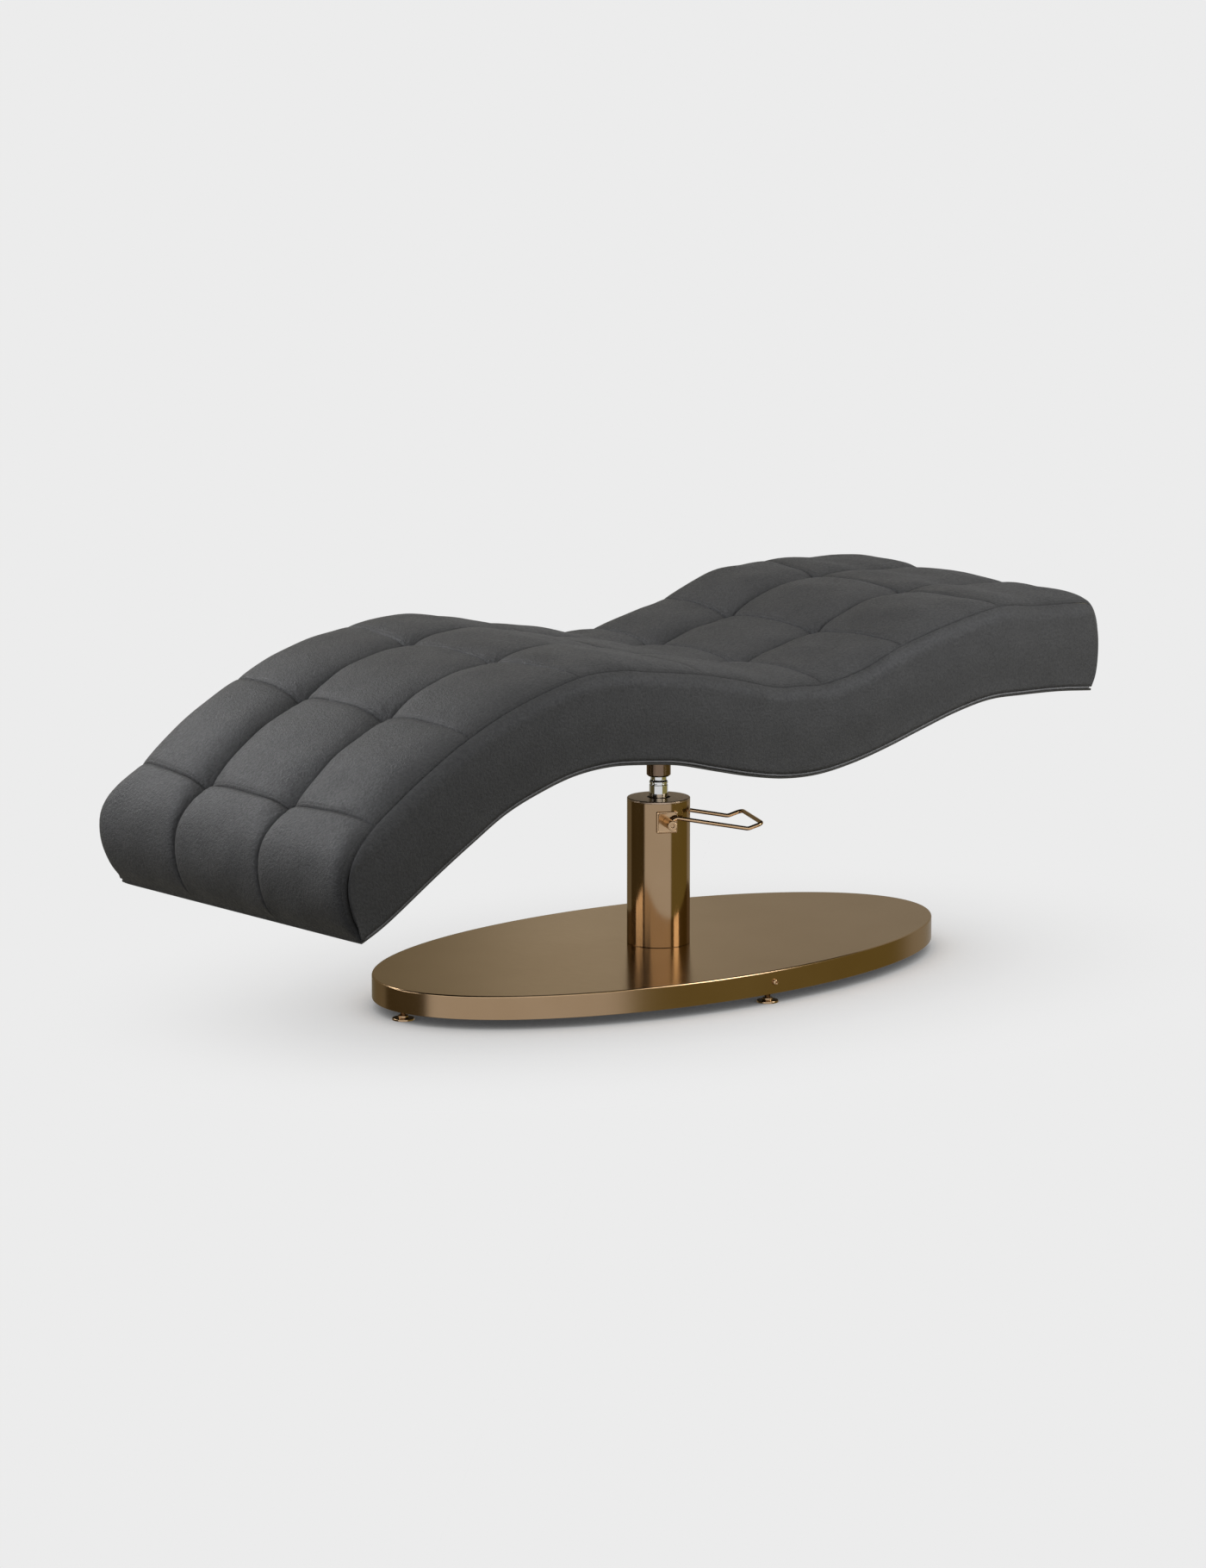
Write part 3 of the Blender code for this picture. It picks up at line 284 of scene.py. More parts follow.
foot_gold = plated("foot_gold", (0.50, 0.35, 0.22, 1.0), gold_colour, 0.18, (300.0, 300.0, 300.0))
foot_spots = [(column_x - foot_spread_long, 0.0), (column_x, -foot_spread_across),
              (column_x + foot_spread_long, 0.0), (column_x, foot_spread_across)]
for number, (x, y) in enumerate(foot_spots, start=1):
    stud_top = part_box(f"levelling_foot_{number}")[1].z
    profile = softened([(0.0, 0.0), (foot_disc_radius, 0.0), (foot_disc_radius, foot_disc_thickness),
                        (foot_collar_radius, foot_disc_thickness), (foot_collar_radius, foot_collar_top),
                        (0.0052, foot_collar_top)], [0.0, 0.0006, 0.0013, 0.0008, 0.0008, 0.0], 4)
    height = foot_collar_top
    while height < stud_top - stud_thread_pitch:
        profile += [(stud_core_radius, height), (stud_thread_radius, height + stud_thread_pitch / 2)]
        height += stud_thread_pitch
    profile += [(stud_core_radius, stud_top), (0.0, stud_top)]
    add_piece(f"foot_{number}_disc", *loft(turned(profile, (x, y, 0.0), 64)), foot_gold, f"foot_{number}",
              "gold_steel", [f"levelling_foot_{number}"], 60)


# Ballast and cross. A cut steel plate fills the shell's top, and two flat bars welded below it
# take the feet. Both are sprayed a flat charcoal that shows faint orange peel.

def peel_effect():
    """Orange peel of a sprayed or moulded face."""
    tree, start, end = effect("orange_peel", [("Place", "Vector", None), ("Grain", "Float", 260.0)],
                              [("Peel", "Float", None)])
    place, grain = start.outputs[:2]
    tree.links.new(noise(tree, place, grain, 2.0).outputs[0], end.inputs[0])
    return tree


orange_peel = peel_effect()


def sprayed(name, colour, roughness, grain):
    """Sprayed or moulded face: orange peel in the relief and slight clouding in the gloss."""
    material, tree, shader, place = finish(name, colour, roughness)
    peel = node(tree, "Group", node_tree=orange_peel)
    tree.links.new(place, peel.inputs[0])
    peel.inputs[1].default_value = grain
    broken_gloss(tree, shader, peel.outputs[0], roughness - 0.06, roughness + 0.08)
    fine_relief(tree, shader, peel.outputs[0], 0.25, 0.15 * mm)
    return material


def repaint(material, *names):
    """Give CAD nodes a finish in place of their plain one."""
    for name in names:
        for slot in cad[name].material_slots:
            slot.material = material


charcoal = sprayed("charcoal_paint", (0.035, 0.035, 0.038, 1.0), 0.55, 260.0)
repaint(charcoal, "ballast_plate", "base_cross", "pump_flange", "pump_block", "seat_plate")


# Rim screws. Two small button head screws with hexagon sockets hold the shell to the cross, one
# in the middle of each long side, plated like the shell.

screw_height = 0.040
screw_radius = 0.0055
screw_shank = 0.003
screw_socket = 0.0025
screw_steps = 48
for name, side in (("rim_screw_left", -1), ("rim_screw_right", 1)):
    angles = np.linspace(0, math.tau, screw_steps, endpoint=False)
    hexagon = screw_socket / np.cos((angles % (math.tau / 6)) - math.tau / 12)
    rings = []
    for radius, out in ((screw_shank, -0.010), (screw_shank, 0.0003), (screw_radius, 0.0003),
                        (screw_radius, 0.0012), (screw_radius * 0.93, 0.0027), (screw_radius * 0.8, 0.0040),
                        (0.0035, 0.0047), (0.0031, 0.0048), (hexagon, 0.0046), (hexagon, 0.0022),
                        (0.0, 0.0018)):
        rings.append(np.stack([column_x + radius * np.cos(angles),
                               np.full(screw_steps, side * (plate_half_width + out)),
                               screw_height + radius * np.sin(angles)], 1))
    verts, faces = loft(rings, wrap_rings=False)
    faces.append(tuple(range(screw_steps)))
    add_piece(name + "_button", verts, faces, foot_gold, "base", "gold_steel", [name], 30)


# Pump column. A drawn steel tube in the plate's gold stands over the hydraulic pump, and a turned
# lid with a small bright bevel closes it and guides the ram.

column_radius = 0.0583
column_wall = 0.0025
column_top = 0.3348
column_foot = 0.0618
lid_joint = 0.3308
lid_bore = 0.0215
gold_tube = plated("satin_gold_tube", gold_colour, gold_shadow, 0.11, (260.0, 260.0, 26.0), 0.03, 0.02)
tube_bore = column_radius - column_wall
tube_top = lid_joint - 0.0001
tube_outline = softened([(tube_bore, column_foot), (column_radius, column_foot), (column_radius, tube_top),
                         (tube_bore, tube_top)], [0.0, 0.0006, 0.0002, 0.0], 3)
add_piece("column_shell", *loft(turned(tube_outline, (column_x, 0.0, 0.0), 192)), gold_tube, "base",
          "gold_steel", ["column_tube"])
lid_gold = plated("turned_lid_gold", (0.44, 0.34, 0.26, 1.0), (0.36, 0.27, 0.20, 1.0), 0.30,
                  (900.0, 900.0, 900.0), 0.06, 0.05)
lid_outline = softened([(lid_bore, lid_joint), (column_radius, lid_joint), (column_radius, column_top),
                        (lid_bore, column_top)], [0.0, 0.0002, 0.0018, 0.0005], 6)
add_piece("column_lid", *loft(turned(lid_outline, (column_x, 0.0, 0.0), 192)), lid_gold, "base",
          "gold_steel", ["column_cap"])


# Pump inside the column. Honed cylinder, bronze gland and bushes, black seals, spring and steel
# pieces are all plain machined parts that only show when the column is taken off.

def machined(name, colour, roughness):
    """Bare turned or ground metal with fine tool marks."""
    shade = tuple(0.8 * part for part in colour[:3]) + (1.0,)
    return plated(name, colour, shade, roughness, (500.0, 500.0, 500.0), 0.1, 0.1)


bright_steel = machined("bright_steel", (0.45, 0.45, 0.46, 1.0), 0.32)
bearing_bronze = machined("bearing_bronze", (0.50, 0.33, 0.14, 1.0), 0.35)
seal_rubber = sprayed("seal_rubber", (0.02, 0.02, 0.02, 1.0), 0.7, 900.0)
repaint(bright_steel, "flange_bolt_1", "flange_bolt_2", "flange_bolt_3", "flange_bolt_4",
        "pump_cylinder", "plunger_spring", "pump_plunger", "pump_crank", "shaft_collar",
        "pedal_shaft_front", "pedal_shaft_rear", "ram_piston", "seat_bolt_1", "seat_bolt_2", "seat_bolt_3",
        "seat_bolt_4")
repaint(bearing_bronze, "cylinder_gland", "shaft_bush_front", "shaft_bush_rear", "thrust_washer")
repaint(seal_rubber, "wiper_seal", "piston_seal")


# Foot pedal. A 7.5 mm wire is bent into a loop that straddles the column, and its ends go into
# two turned bosses on the pump's cross shaft. Square pads close the shaft's holes in the tube.

pedal_turn = math.radians(-24.8)
pedal_height = 0.297
wire_radius = 0.00375
wire_steps = 20
boss_radius = 0.009
boss_bore = 0.0063
boss_inner = 0.0616
boss_outer = 0.097
boss_seat = 0.090
pad_half = 0.020
pedal_gold = plated("pedal_gold", (0.50, 0.35, 0.22, 1.0), (0.42, 0.28, 0.16, 1.0), 0.16,
                    (200.0, 200.0, 200.0))
pedal_place = Matrix.Translation((column_x, 0.0, pedal_height)) @ Matrix.Rotation(pedal_turn, 4, "Z")


def pedal_frame(points):
    """Points of the pedal's own frame, X outwards and Z up, moved into the bed's frame."""
    points = np.asarray(points, float)
    matrix = np.array(pedal_place)
    return points @ matrix[:3, :3].T + matrix[:3, 3]


def bent(points, radii, steps=10):
    """Straight runs of wire joined by arcs at the inner points."""
    route = [Vector(points[0])]
    for before, corner, after, radius in zip(points, points[1:], points[2:], radii):
        route += corner_arc(before, corner, after, radius, steps)
    return route + [Vector(points[-1])]


def swept(route, radius, steps):
    """Rings of a round wire along its route, carried without twist."""
    route = [Vector(point) for point in route]
    behind, ahead = route[:1] + route[:-1], route[1:] + route[-1:]
    tangents = [(after - before).normalized() for before, after in zip(behind, ahead)]
    side = tangents[0].orthogonal().normalized()
    rings = []
    for point, tangent in zip(route, tangents):
        side = (side - tangent * side.dot(tangent)).normalized()
        up = tangent.cross(side)
        ring = []
        for k in range(steps):
            angle = math.tau * k / steps
            ring.append(tuple(point + radius * (math.cos(angle) * side + math.sin(angle) * up)))
        rings.append(ring)
    return rings


def capped(verts, faces, steps):
    """Close the two ends of an open loft."""
    last = len(verts) - steps
    return verts, faces + [tuple(range(steps)), tuple(range(last, last + steps))]


half_gauge = 0.067
leg = [(0.0063, 0.0, 0.0037), (0.0156, 0.0, 0.0090), (0.1525, 0.0, -0.0176), (0.180, 0.0, -0.0087)]
front_leg = [(x, -half_gauge, z) for x, y, z in leg]
rear_leg = [(x, half_gauge, z) for x, y, z in reversed(leg)]
bends = [0.008, 0.016, 0.010]
wire_route = bent(front_leg + rear_leg, bends + bends[::-1])
wire_rings = [pedal_frame(ring) for ring in swept(wire_route, wire_radius, wire_steps)]
add_piece("pedal_wire", *capped(*loft(wire_rings, wrap_rings=False), wire_steps), pedal_gold, "pedal",
          "gold_steel", ["pedal_bar"], 60)

across = Matrix.Rotation(math.radians(90), 3, "X")
boss = softened([(boss_bore, boss_inner), (boss_radius, boss_inner), (boss_radius, boss_outer),
                 (0.0036, boss_outer), (0.0030, 0.0945), (0.0, 0.0945), (0.0, boss_seat),
                 (boss_bore, boss_seat)],
                [0.0, 0.0008, 0.0011, 0.0006, 0.0, 0.0, 0.0, 0.0], 4)
for end, side in (("front", 1), ("rear", -1)):
    outline = [(radius, side * run) for radius, run in boss]
    rings = [pedal_frame(ring) for ring in turned(outline, steps=64, lay=across)]
    add_piece(f"pedal_boss_{end}_turned", *loft(rings), pedal_gold, "pedal", "gold_steel",
              [f"pedal_boss_{end}"])


def pad_mesh(side):
    """Square pad with rounded corners and a raised rim, its back turned to the column."""
    outline = softened([(-pad_half, -pad_half), (pad_half, -pad_half), (pad_half, pad_half),
                        (-pad_half, pad_half)], [0.0025] * 4, 4)
    rings = []
    for inset, face in ((0.0, None), (0.0, 0.0601), (0.0004, 0.0608), (0.0016, 0.0613), (0.0024, 0.0613),
                        (0.0030, 0.0606), (0.0042, 0.0604)):
        ring = []
        for across_x, up_z in outline:
            share = 1 - inset / pad_half
            depth = face if face else math.sqrt((column_radius + 0.0003) ** 2 - across_x ** 2)
            ring.append((across_x * share, -side * depth, up_z * share))
        rings.append(pedal_frame(ring))
    verts, faces = loft(rings, wrap_rings=False)
    faces.append(tuple(range(len(verts) - len(outline), len(verts))))
    return verts, faces


for end, side in (("front", 1), ("rear", -1)):
    add_piece(f"pedal_pad_{end}_plate", *pad_mesh(side), pedal_gold, "base", "gold_steel",
              [f"pedal_pad_{end}"])


# Ram. A hard chromed rod slides up out of the column, with a shoulder and a snap ring groove
# where its thinner neck enters the bed's sleeve.

ram_radius = 0.01725
ram_groove_radius = 0.0163
ram_neck_radius = 0.0150
chrome_colour = (0.72, 0.73, 0.74, 1.0)
chrome_mirror, chrome_tree, chrome_shader, chrome_place = finish("hard_chrome", chrome_colour, 0.06, 1.0)
chrome_lines = node(chrome_tree, "Group", node_tree=brushed_plating)
chrome_tree.links.new(chrome_place, chrome_lines.inputs[0])
chrome_lines.inputs[1].default_value = (150.0, 150.0, 900.0)
broken_gloss(chrome_tree, chrome_shader, chrome_lines.outputs[0], 0.04, 0.1)
ram_low, ram_high = (corner.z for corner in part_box("ram_rod"))
ram_outline = softened(
    [(0.0, ram_low), (ram_radius, ram_low), (ram_radius, 0.3575), (ram_groove_radius, 0.3585),
     (ram_groove_radius, 0.3600), (ram_radius, 0.3610), (ram_radius, 0.3640), (ram_neck_radius, 0.3675),
     (ram_neck_radius, ram_high), (0.0, ram_high)],
    [0.0, 0.0, 0.0004, 0.0003, 0.0003, 0.0004, 0.0010, 0.0010, 0.0, 0.0], 4)
add_piece("ram_chrome", *loft(turned(ram_outline, (column_x, 0.0, 0.0), 128)), chrome_mirror, "ram",
          "chrome", ["ram_rod"])


# Swivel sleeve. A turned gold collar with a chamfered mouth hangs from the seat plate and turns on the ram's
# neck. Its gold is darker than the plate's: painted shade for its place under the bed.

sleeve_bore = 0.0153
sleeve_radius = 0.0223
sleeve_mouth = 0.374
sleeve_chamfer = 0.003
sleeve_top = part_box("socket_sleeve")[1].z
# Painted shade: the sleeve's gold is about half as bright as the plate's gold.
shaded_sleeve_gold = plated("shaded_sleeve_gold", (0.20, 0.14, 0.10, 1.0), (0.17, 0.115, 0.08, 1.0), 0.16,
                     (260.0, 260.0, 26.0))
sleeve_outline = softened([(sleeve_bore, sleeve_mouth), (sleeve_radius - sleeve_chamfer, sleeve_mouth),
                           (sleeve_radius, sleeve_mouth + sleeve_chamfer), (sleeve_radius, sleeve_top),
                           (sleeve_bore, sleeve_top)], [0.0003, 0.0006, 0.0006, 0.0, 0.0], 4)
add_piece("swivel_sleeve", *loft(turned(sleeve_outline, (column_x, 0.0, 0.0), 128)), shaded_sleeve_gold, "bed",
          "gold_steel", ["socket_sleeve"])


# Frame. Birch plywood rails, ribs, end boards and a bent deck, glued and stapled, carry the
# upholstery. They show pale faces with open grain and darker glue lines on their edges.

def plywood_finish():
    """Grain stretched along the bed, and the glue lines between the layers."""
    material, tree, shader, place = finish("birch_plywood", (0.52, 0.37, 0.22, 1.0), 0.62)
    stretched = node(tree, "VectorMath", [(0, place)], operation="MULTIPLY", in_1=(6.0, 60.0, 60.0))
    grain = noise(tree, stretched.outputs[0], 2.0, 6.0)
    layers = node(tree, "TexWave", [(0, place)], bands_direction="Z")
    layers.inputs["Scale"].default_value = 110.0
    layers.inputs["Distortion"].default_value = 0.6
    figure = ramp(tree, grain.outputs[0], [(0.3, (0.44, 0.30, 0.17, 1.0)), (0.7, (0.60, 0.44, 0.28, 1.0))])
    glue = ramp(tree, layers.outputs[1], [(0.0, 0.72), (0.25, 1.0)])
    mixed = node(tree, "MixRGB", [(1, figure), (2, glue)], blend_type="MULTIPLY", in_0=0.5)
    tree.links.new(mixed.outputs[0], shader.inputs["Base Color"])
    fine_relief(tree, shader, grain.outputs[0], 0.3, 0.3 * mm)
    return material


repaint(plywood_finish(), "side_rail_left", "side_rail_right", "foot_end_board", "head_end_board",
        "cross_rib_1", "cross_rib_2", "cross_rib_3", "cross_rib_4", "seat_rib_foot", "seat_rib_head",
        "top_deck")


# Bottom board. A thin bent board stained black closes the bed underneath; it follows the wave of the bed's
# underside.

foot_reach = 1.005
head_reach = 0.790
bed_thickness = 0.166
under_height = 0.4195
wave_height = 0.267
half_bed = 0.3555
board_thickness = 0.0042
board_edge = 0.0015
board_inset = 0.0035
board_drop = 0.0026
underside_shares = [
    (-0.953, -0.662), (-0.895, -0.547), (-0.790, -0.292), (-0.715, -0.120), (-0.640, 0.041),
    (-0.563, 0.150), (-0.487, 0.225), (-0.408, 0.251), (-0.329, 0.232), (-0.250, 0.195), (-0.161, 0.116),
    (-0.080, 0.047), (0.0, 0.0), (0.100, -0.006), (0.203, 0.034), (0.309, 0.105), (0.418, 0.195),
    (0.528, 0.281), (0.637, 0.337), (0.748, 0.337), (0.862, 0.326), (0.968, 0.300)]


def side_point(x_share, z_share, depth_share=0.0):
    """Point of the side view, from shares of the reach, the wave and the thickness."""
    x = x_share * (foot_reach if x_share < 0 else head_reach)
    return np.array([column_x + x, under_height + wave_height * z_share + bed_thickness * depth_share])


def flowing(points, steps):
    """Smooth curve through points of the side view."""
    points = [np.asarray(p, float) for p in points]
    ends = [2 * points[0] - points[1]] + points + [2 * points[-1] - points[-2]]
    curve = []
    for a, b, c, d in zip(ends, ends[1:], ends[2:], ends[3:]):
        for k in range(steps):
            t = k / steps
            curve.append(0.5 * (2 * b + (c - a) * t + (2 * a - 5 * b + 4 * c - d) * t * t
                                + (3 * b - a - 3 * c + d) * t ** 3))
    return np.array(curve + [points[-1]])


def arc_lengths(curve):
    """Length run along a curve up to each of its points."""
    return np.concatenate([[0.0], np.cumsum(np.linalg.norm(np.diff(curve, axis=0), axis=1))])


def left_normals(curve):
    """Unit normals of a curve, upwards where it runs from foot to head."""
    tangent = np.gradient(curve, axis=0)
    tangent /= np.linalg.norm(tangent, axis=1)[:, None]
    return np.stack([-tangent[:, 1], tangent[:, 0]], 1)


def evenly(curve, count):
    """The same curve with points at equal steps."""
    run = arc_lengths(curve)
    marks = np.linspace(0.0, run[-1], count)
    return np.stack([np.interp(marks, run, curve[:, i]) for i in (0, 1)], 1)


under_curve = evenly(flowing([side_point(*row) for row in underside_shares], 12), 300)
under_normals = left_normals(under_curve)
under_curve = under_curve - under_normals * np.linspace(0.0, 1.0, 300)[:, None] ** 0.3 * board_drop
stain = (0.014, 0.014, 0.015, 1.0)
board_black, board_tree, board_shader, board_place = finish("black_stained_board", stain, 0.6)
board_grain = noise(board_tree, board_place, 90.0, 2.0)
board_tone = ramp(board_tree, board_grain.outputs[0], [(0.3, 0.010), (0.7, 0.020)])
board_tree.links.new(board_tone, board_shader.inputs["Base Color"])


def board_mesh():
    """Board with rounded long edges, as a loft of cross sections along the bed."""
    half = half_bed - board_inset
    section = softened([(-half, 0.0), (half, 0.0), (half, board_thickness), (-half, board_thickness)],
                       [board_edge] * 4, 3)
    rings = []
    for (x, z), (nx, nz) in zip(under_curve, under_normals):
        rings.append([(x + nx * rise, y, z + nz * rise) for y, rise in section])
    return capped(*loft(rings, wrap_rings=False), len(section))


add_piece("underside_board", *board_mesh(), board_black, "bed", "board_black", ["bottom_board"])


# Quilted cover. One dark grey leather cover over the foam, sewn in three columns and eight rows.
# The row seams are lapped and topstitched, the long seams are plain, and the crossings are tied
# down deep, so each field stands up as a pillow.

upholstery_lift = 0.0076
foot_wrap_shares = [(-0.980, -0.650, 0.23), (-0.992, -0.641, 0.50), (-0.987, -0.634, 0.74),
                    (-0.965, -0.614, 0.90)]
top_shares = [
    (-0.918, -0.543), (-0.820, -0.292), (-0.717, -0.071), (-0.605, 0.105), (-0.468, 0.240),
    (-0.374, 0.251), (-0.313, 0.221), (-0.200, 0.160), (-0.100, 0.082), (-0.014, 0.0), (0.062, -0.015),
    (0.133, -0.024), (0.247, 0.037), (0.367, 0.161), (0.518, 0.270), (0.681, 0.348), (0.794, 0.322),
    (0.940, 0.300)]
head_wrap_shares = [(0.980, 0.294, 0.93), (0.990, 0.294, 0.64), (0.986, 0.294, 0.34)]
row_places = [-0.9316, -0.7246, -0.4894, -0.2000, 0.0869, 0.2757, 0.5009]
row_bows = [0.012, 0.010, 0.020, 0.018, 0.010, 0.016, 0.034]
groove_y = 0.1215
crown_marks = [0.0, 0.12, 0.30, 0.60, 1.0, 1.5, 2.0, 2.5, 3.0, 3.5, 4.0, 4.5, 4.72, 5.0, 5.5, 6.0, 6.5,
               7.0, 7.5, 7.86, 8.0]
crown_heights = [2.0, 5.0, 12.0, 21.0, 33.5, 36.0, 33.0, 27.0, 17.0, 20.0, 16.5, 18.5, 15.0, 27.0, 32.0,
                 17.5, 31.0, 17.0, 22.0, 12.0, 6.0]
crown_lean = 0.28
seam_y_top = 0.3395
seam_y_foot = 0.3520
seam_y_head = 0.3450
pillow_rise = 0.0060
pillow_hollow = 0.18
crossing_height = -0.001
groove_rise = 0.018
groove_width_top = 0.022
groove_width_foot = 0.007
edge_roll_top = 0.028
edge_roll_foot = 0.008
edge_roll_head = 0.012
row_fold, row_fold_reach = 0.0026, 0.010
row_crease, row_crease_reach = 0.0032, 0.0028
groove_crease, groove_crease_at_foot, groove_crease_reach = 0.0010, 0.0028, 0.0028
topstitch_away, topstitch_sink, topstitch_reach = 0.0068, 0.0005, 0.0012
tie_sink, tie_reach = 0.0040, 0.011
gather_size, gather_away, gather_reach = 0.0005, 0.028, 0.018
swell_size = 0.00035
end_push = 0.0062
foot_edge_drop, foot_edge_reach = 0.008, 0.0045
edge_crease, edge_crease_reach = 0.0026, 0.0028
cover_gauge = 0.0012
wrap_gap = 0.0002
wrap_under = 0.014


def corner_point(index):
    """Where the cover meets the board at one end of the bed."""
    return under_curve[index] + under_normals[index] * upholstery_lift


seam_curve = evenly(flowing(
    [corner_point(0)] + [side_point(*row) for row in foot_wrap_shares]
    + [side_point(x, z, 1.0) for x, z in top_shares] + [side_point(*row) for row in head_wrap_shares]
    + [corner_point(-1)], 16), 1600)
seam_run = arc_lengths(seam_curve)
seam_length = seam_run[-1]
seam_normals = left_normals(seam_curve)


def evened(values, window, **ending):
    """Running average of a row of values, padded at both ends."""
    weights = np.hanning(window)
    return np.convolve(np.pad(values, window // 2, **ending), weights / weights.sum(), mode="valid")


for axis in (0, 1):
    seam_normals[:, axis] = evened(seam_normals[:, axis], 41, mode="edge")
seam_normals /= np.linalg.norm(seam_normals, axis=1)[:, None]
head_push = np.clip((seam_run - seam_length + 0.16) / 0.06, 0.0, 1.0)
seam_curve += seam_normals * (end_push * head_push * head_push * (3 - 2 * head_push))[:, None]

top_part = (seam_run > 0.10) & (seam_run < seam_length - 0.12)
row_marks = [float(np.interp(column_x + x, seam_curve[top_part, 0], seam_run[top_part])) for x in row_places]
row_marks = [0.0] + row_marks + [seam_length]
row_bows = [0.0] + row_bows + [0.0]
crown_run = np.linspace(0.0, seam_length, 400)
crown_line = np.interp(np.interp(crown_run, row_marks, range(9)), crown_marks, crown_heights) * mm
crown_line = evened(crown_line, 25, mode="reflect", reflect_type="odd")


def eased(value, low, high):
    """Smooth step from 0 at low to 1 at high."""
    share = np.clip((value - low) / (high - low), 0.0, 1.0)
    return share * share * (3 - 2 * share)


def at_foot(s):
    """1 where the seam runs round the foot end of the bed, 0 on the top."""
    return 1 - eased(s, 0.12, 0.24)


def at_head(s):
    """1 on the head end, 0 on the top."""
    return eased(s, seam_length - 0.22, seam_length - 0.11)


def from_top(s, on_top, on_foot, on_head):
    """Value that changes from the top to the foot end and the head end."""
    return on_top + (on_foot - on_top) * at_foot(s) + (on_head - on_top) * at_head(s)


def seam_y(s):
    """Half width between the seams to the side panels."""
    return from_top(s, seam_y_top, seam_y_foot, seam_y_head)


def row_bow(y):
    """How far a row seam runs towards the head, from the grooves out to the sides."""
    share = np.clip((np.abs(y) - groove_y) / (seam_y_top - groove_y), 0.0, 1.0)
    return share ** 1.3


swell_waves = np.random.default_rng(7).uniform(-1.0, 1.0, (14, 4))


def unevenness(s, y):
    """Slow swells of hand-stuffed leather, within a few millimetres."""
    total = 0.0
    for along, across_way, phase, size in swell_waves:
        total = total + size * np.sin(70 * along * s + 70 * across_way * y + 6 * phase)
    return swell_size * total


def dent(distance, depth, reach):
    """Dent that is deepest on a seam and fades out beside it."""
    return depth * np.exp(-distance / reach)


def soft_line(distance, depth, reach):
    """Rounded line at a distance from a seam."""
    return depth * np.exp(-(distance / reach) ** 2)


def cover_height(s, y):
    """Height of the cover over the seam path."""
    marks = np.array([mark + bow * row_bow(y) for mark, bow in zip(row_marks, row_bows)])
    index = np.clip((marks <= s + 1e-9).sum(0) - 1, 0, len(row_marks) - 2)
    low = np.take_along_axis(marks, index[None], 0)[0]
    high = np.take_along_axis(marks, index[None] + 1, 0)[0]
    before, after = np.maximum(s - low, 0.0), np.maximum(high - s, 0.0)
    first, last = index == 0, index == len(row_marks) - 2
    share = before / (high - low)
    foot = at_foot(s)
    crown = np.interp(s, crown_run, crown_line) * (1 + crown_lean * y / seam_y_top)
    swell = np.where(first | last, 0.0, 4 * share * (1 - share))
    fade = np.where(first, eased(before, 0.0, 0.03), 1.0) * np.where(last, eased(after, 0.0, 0.04), 1.0)
    to_groove = np.abs(np.abs(y) - groove_y)
    to_edge = np.maximum(seam_y(s) - np.abs(y), 0.0)
    to_low, to_high = np.where(first, 1.0, before), np.where(last, 1.0, after)
    to_row = np.minimum(to_low, to_high)
    arch = 1 - dent(to_groove, fade, from_top(s, groove_width_top, groove_width_foot, groove_width_top))
    arch *= np.where(np.abs(y) <= groove_y, 1 - pillow_hollow * (y / groove_y) ** 2 * fade, 1.0)
    groove = crossing_height + groove_rise * np.where(first | last, 0.6, swell)
    height = groove + (crown + pillow_rise * swell - groove) * arch
    height -= dent(to_row, row_fold, row_fold_reach) + dent(to_row, row_crease, row_crease_reach)
    height -= soft_line(to_low - topstitch_away, topstitch_sink, topstitch_reach)
    height -= dent(to_groove, fade * (groove_crease + groove_crease_at_foot * foot), groove_crease_reach)
    to_tie = np.sqrt(to_row ** 2 + to_groove ** 2)
    gathers = np.cos(10 * np.arctan2(to_row, to_groove) + 3 * index)
    height -= dent(to_tie, tie_sink, tie_reach)
    height += gathers * soft_line(to_tie - gather_away, gather_size, gather_reach)
    height += fade * unevenness(s, y)
    height *= 1 - dent(to_edge, 1.0, from_top(s, edge_roll_top, edge_roll_foot, edge_roll_head))
    drop = foot_edge_drop * foot * eased(s, 0.0, 0.03)
    return height - dent(to_edge, drop, foot_edge_reach) - dent(to_edge, edge_crease, edge_crease_reach)


def seam_shade(s, y):
    """1 in the folds of the seams, 0 a few millimetres away: the mask of painted shade that darkens the
    leather inside them.
    """
    marks = np.array([mark + bow * row_bow(y) for mark, bow in zip(row_marks[1:-1], row_bows[1:-1])])
    to_row = np.abs(marks - s).min(0)
    to_groove = np.abs(np.abs(y) - groove_y)
    to_edge = np.maximum(seam_y(s) - np.abs(y), 0.0)
    in_row = soft_line(to_row, 0.45, 0.0030)
    in_groove = soft_line(to_groove, 0.35, 0.0040)
    in_edge = soft_line(to_edge, from_top(s, 0.55, 1.0, 0.20), 0.0020)
    return np.maximum(np.maximum(in_row, in_groove), in_edge)


def over_seam(s, y, height):
    """Points at a height over the seam path, in the bed's frame."""
    x, z, nx, nz = (np.interp(s, seam_run, values) for values in (*seam_curve.T, *seam_normals.T))
    return np.stack([x + nx * height, y, z + nz * height], -1)


def dense_near(length, near_low=True, near_high=True):
    """Shares of a length, close together next to its seams."""
    close = mm * np.array([0.0, 0.8, 1.6, 2.6, 3.8, 5.0, 6.0, 6.8, 7.6, 8.8, 11.0, 14.0, 18.0, 23.0, 29.0,
                           36.0])
    open_end = mm * np.array([0.0, 6.0, 12.0, 20.0, 28.0, 36.0])
    low = close if near_low else open_end
    high = close if near_high else open_end
    middle = length - low[-1] - high[-1]
    count = max(2, round(middle / 0.009))
    inner = low[-1] + middle * np.arange(1, count) / count
    return np.concatenate([low, inner, length - high[::-1]]) / length


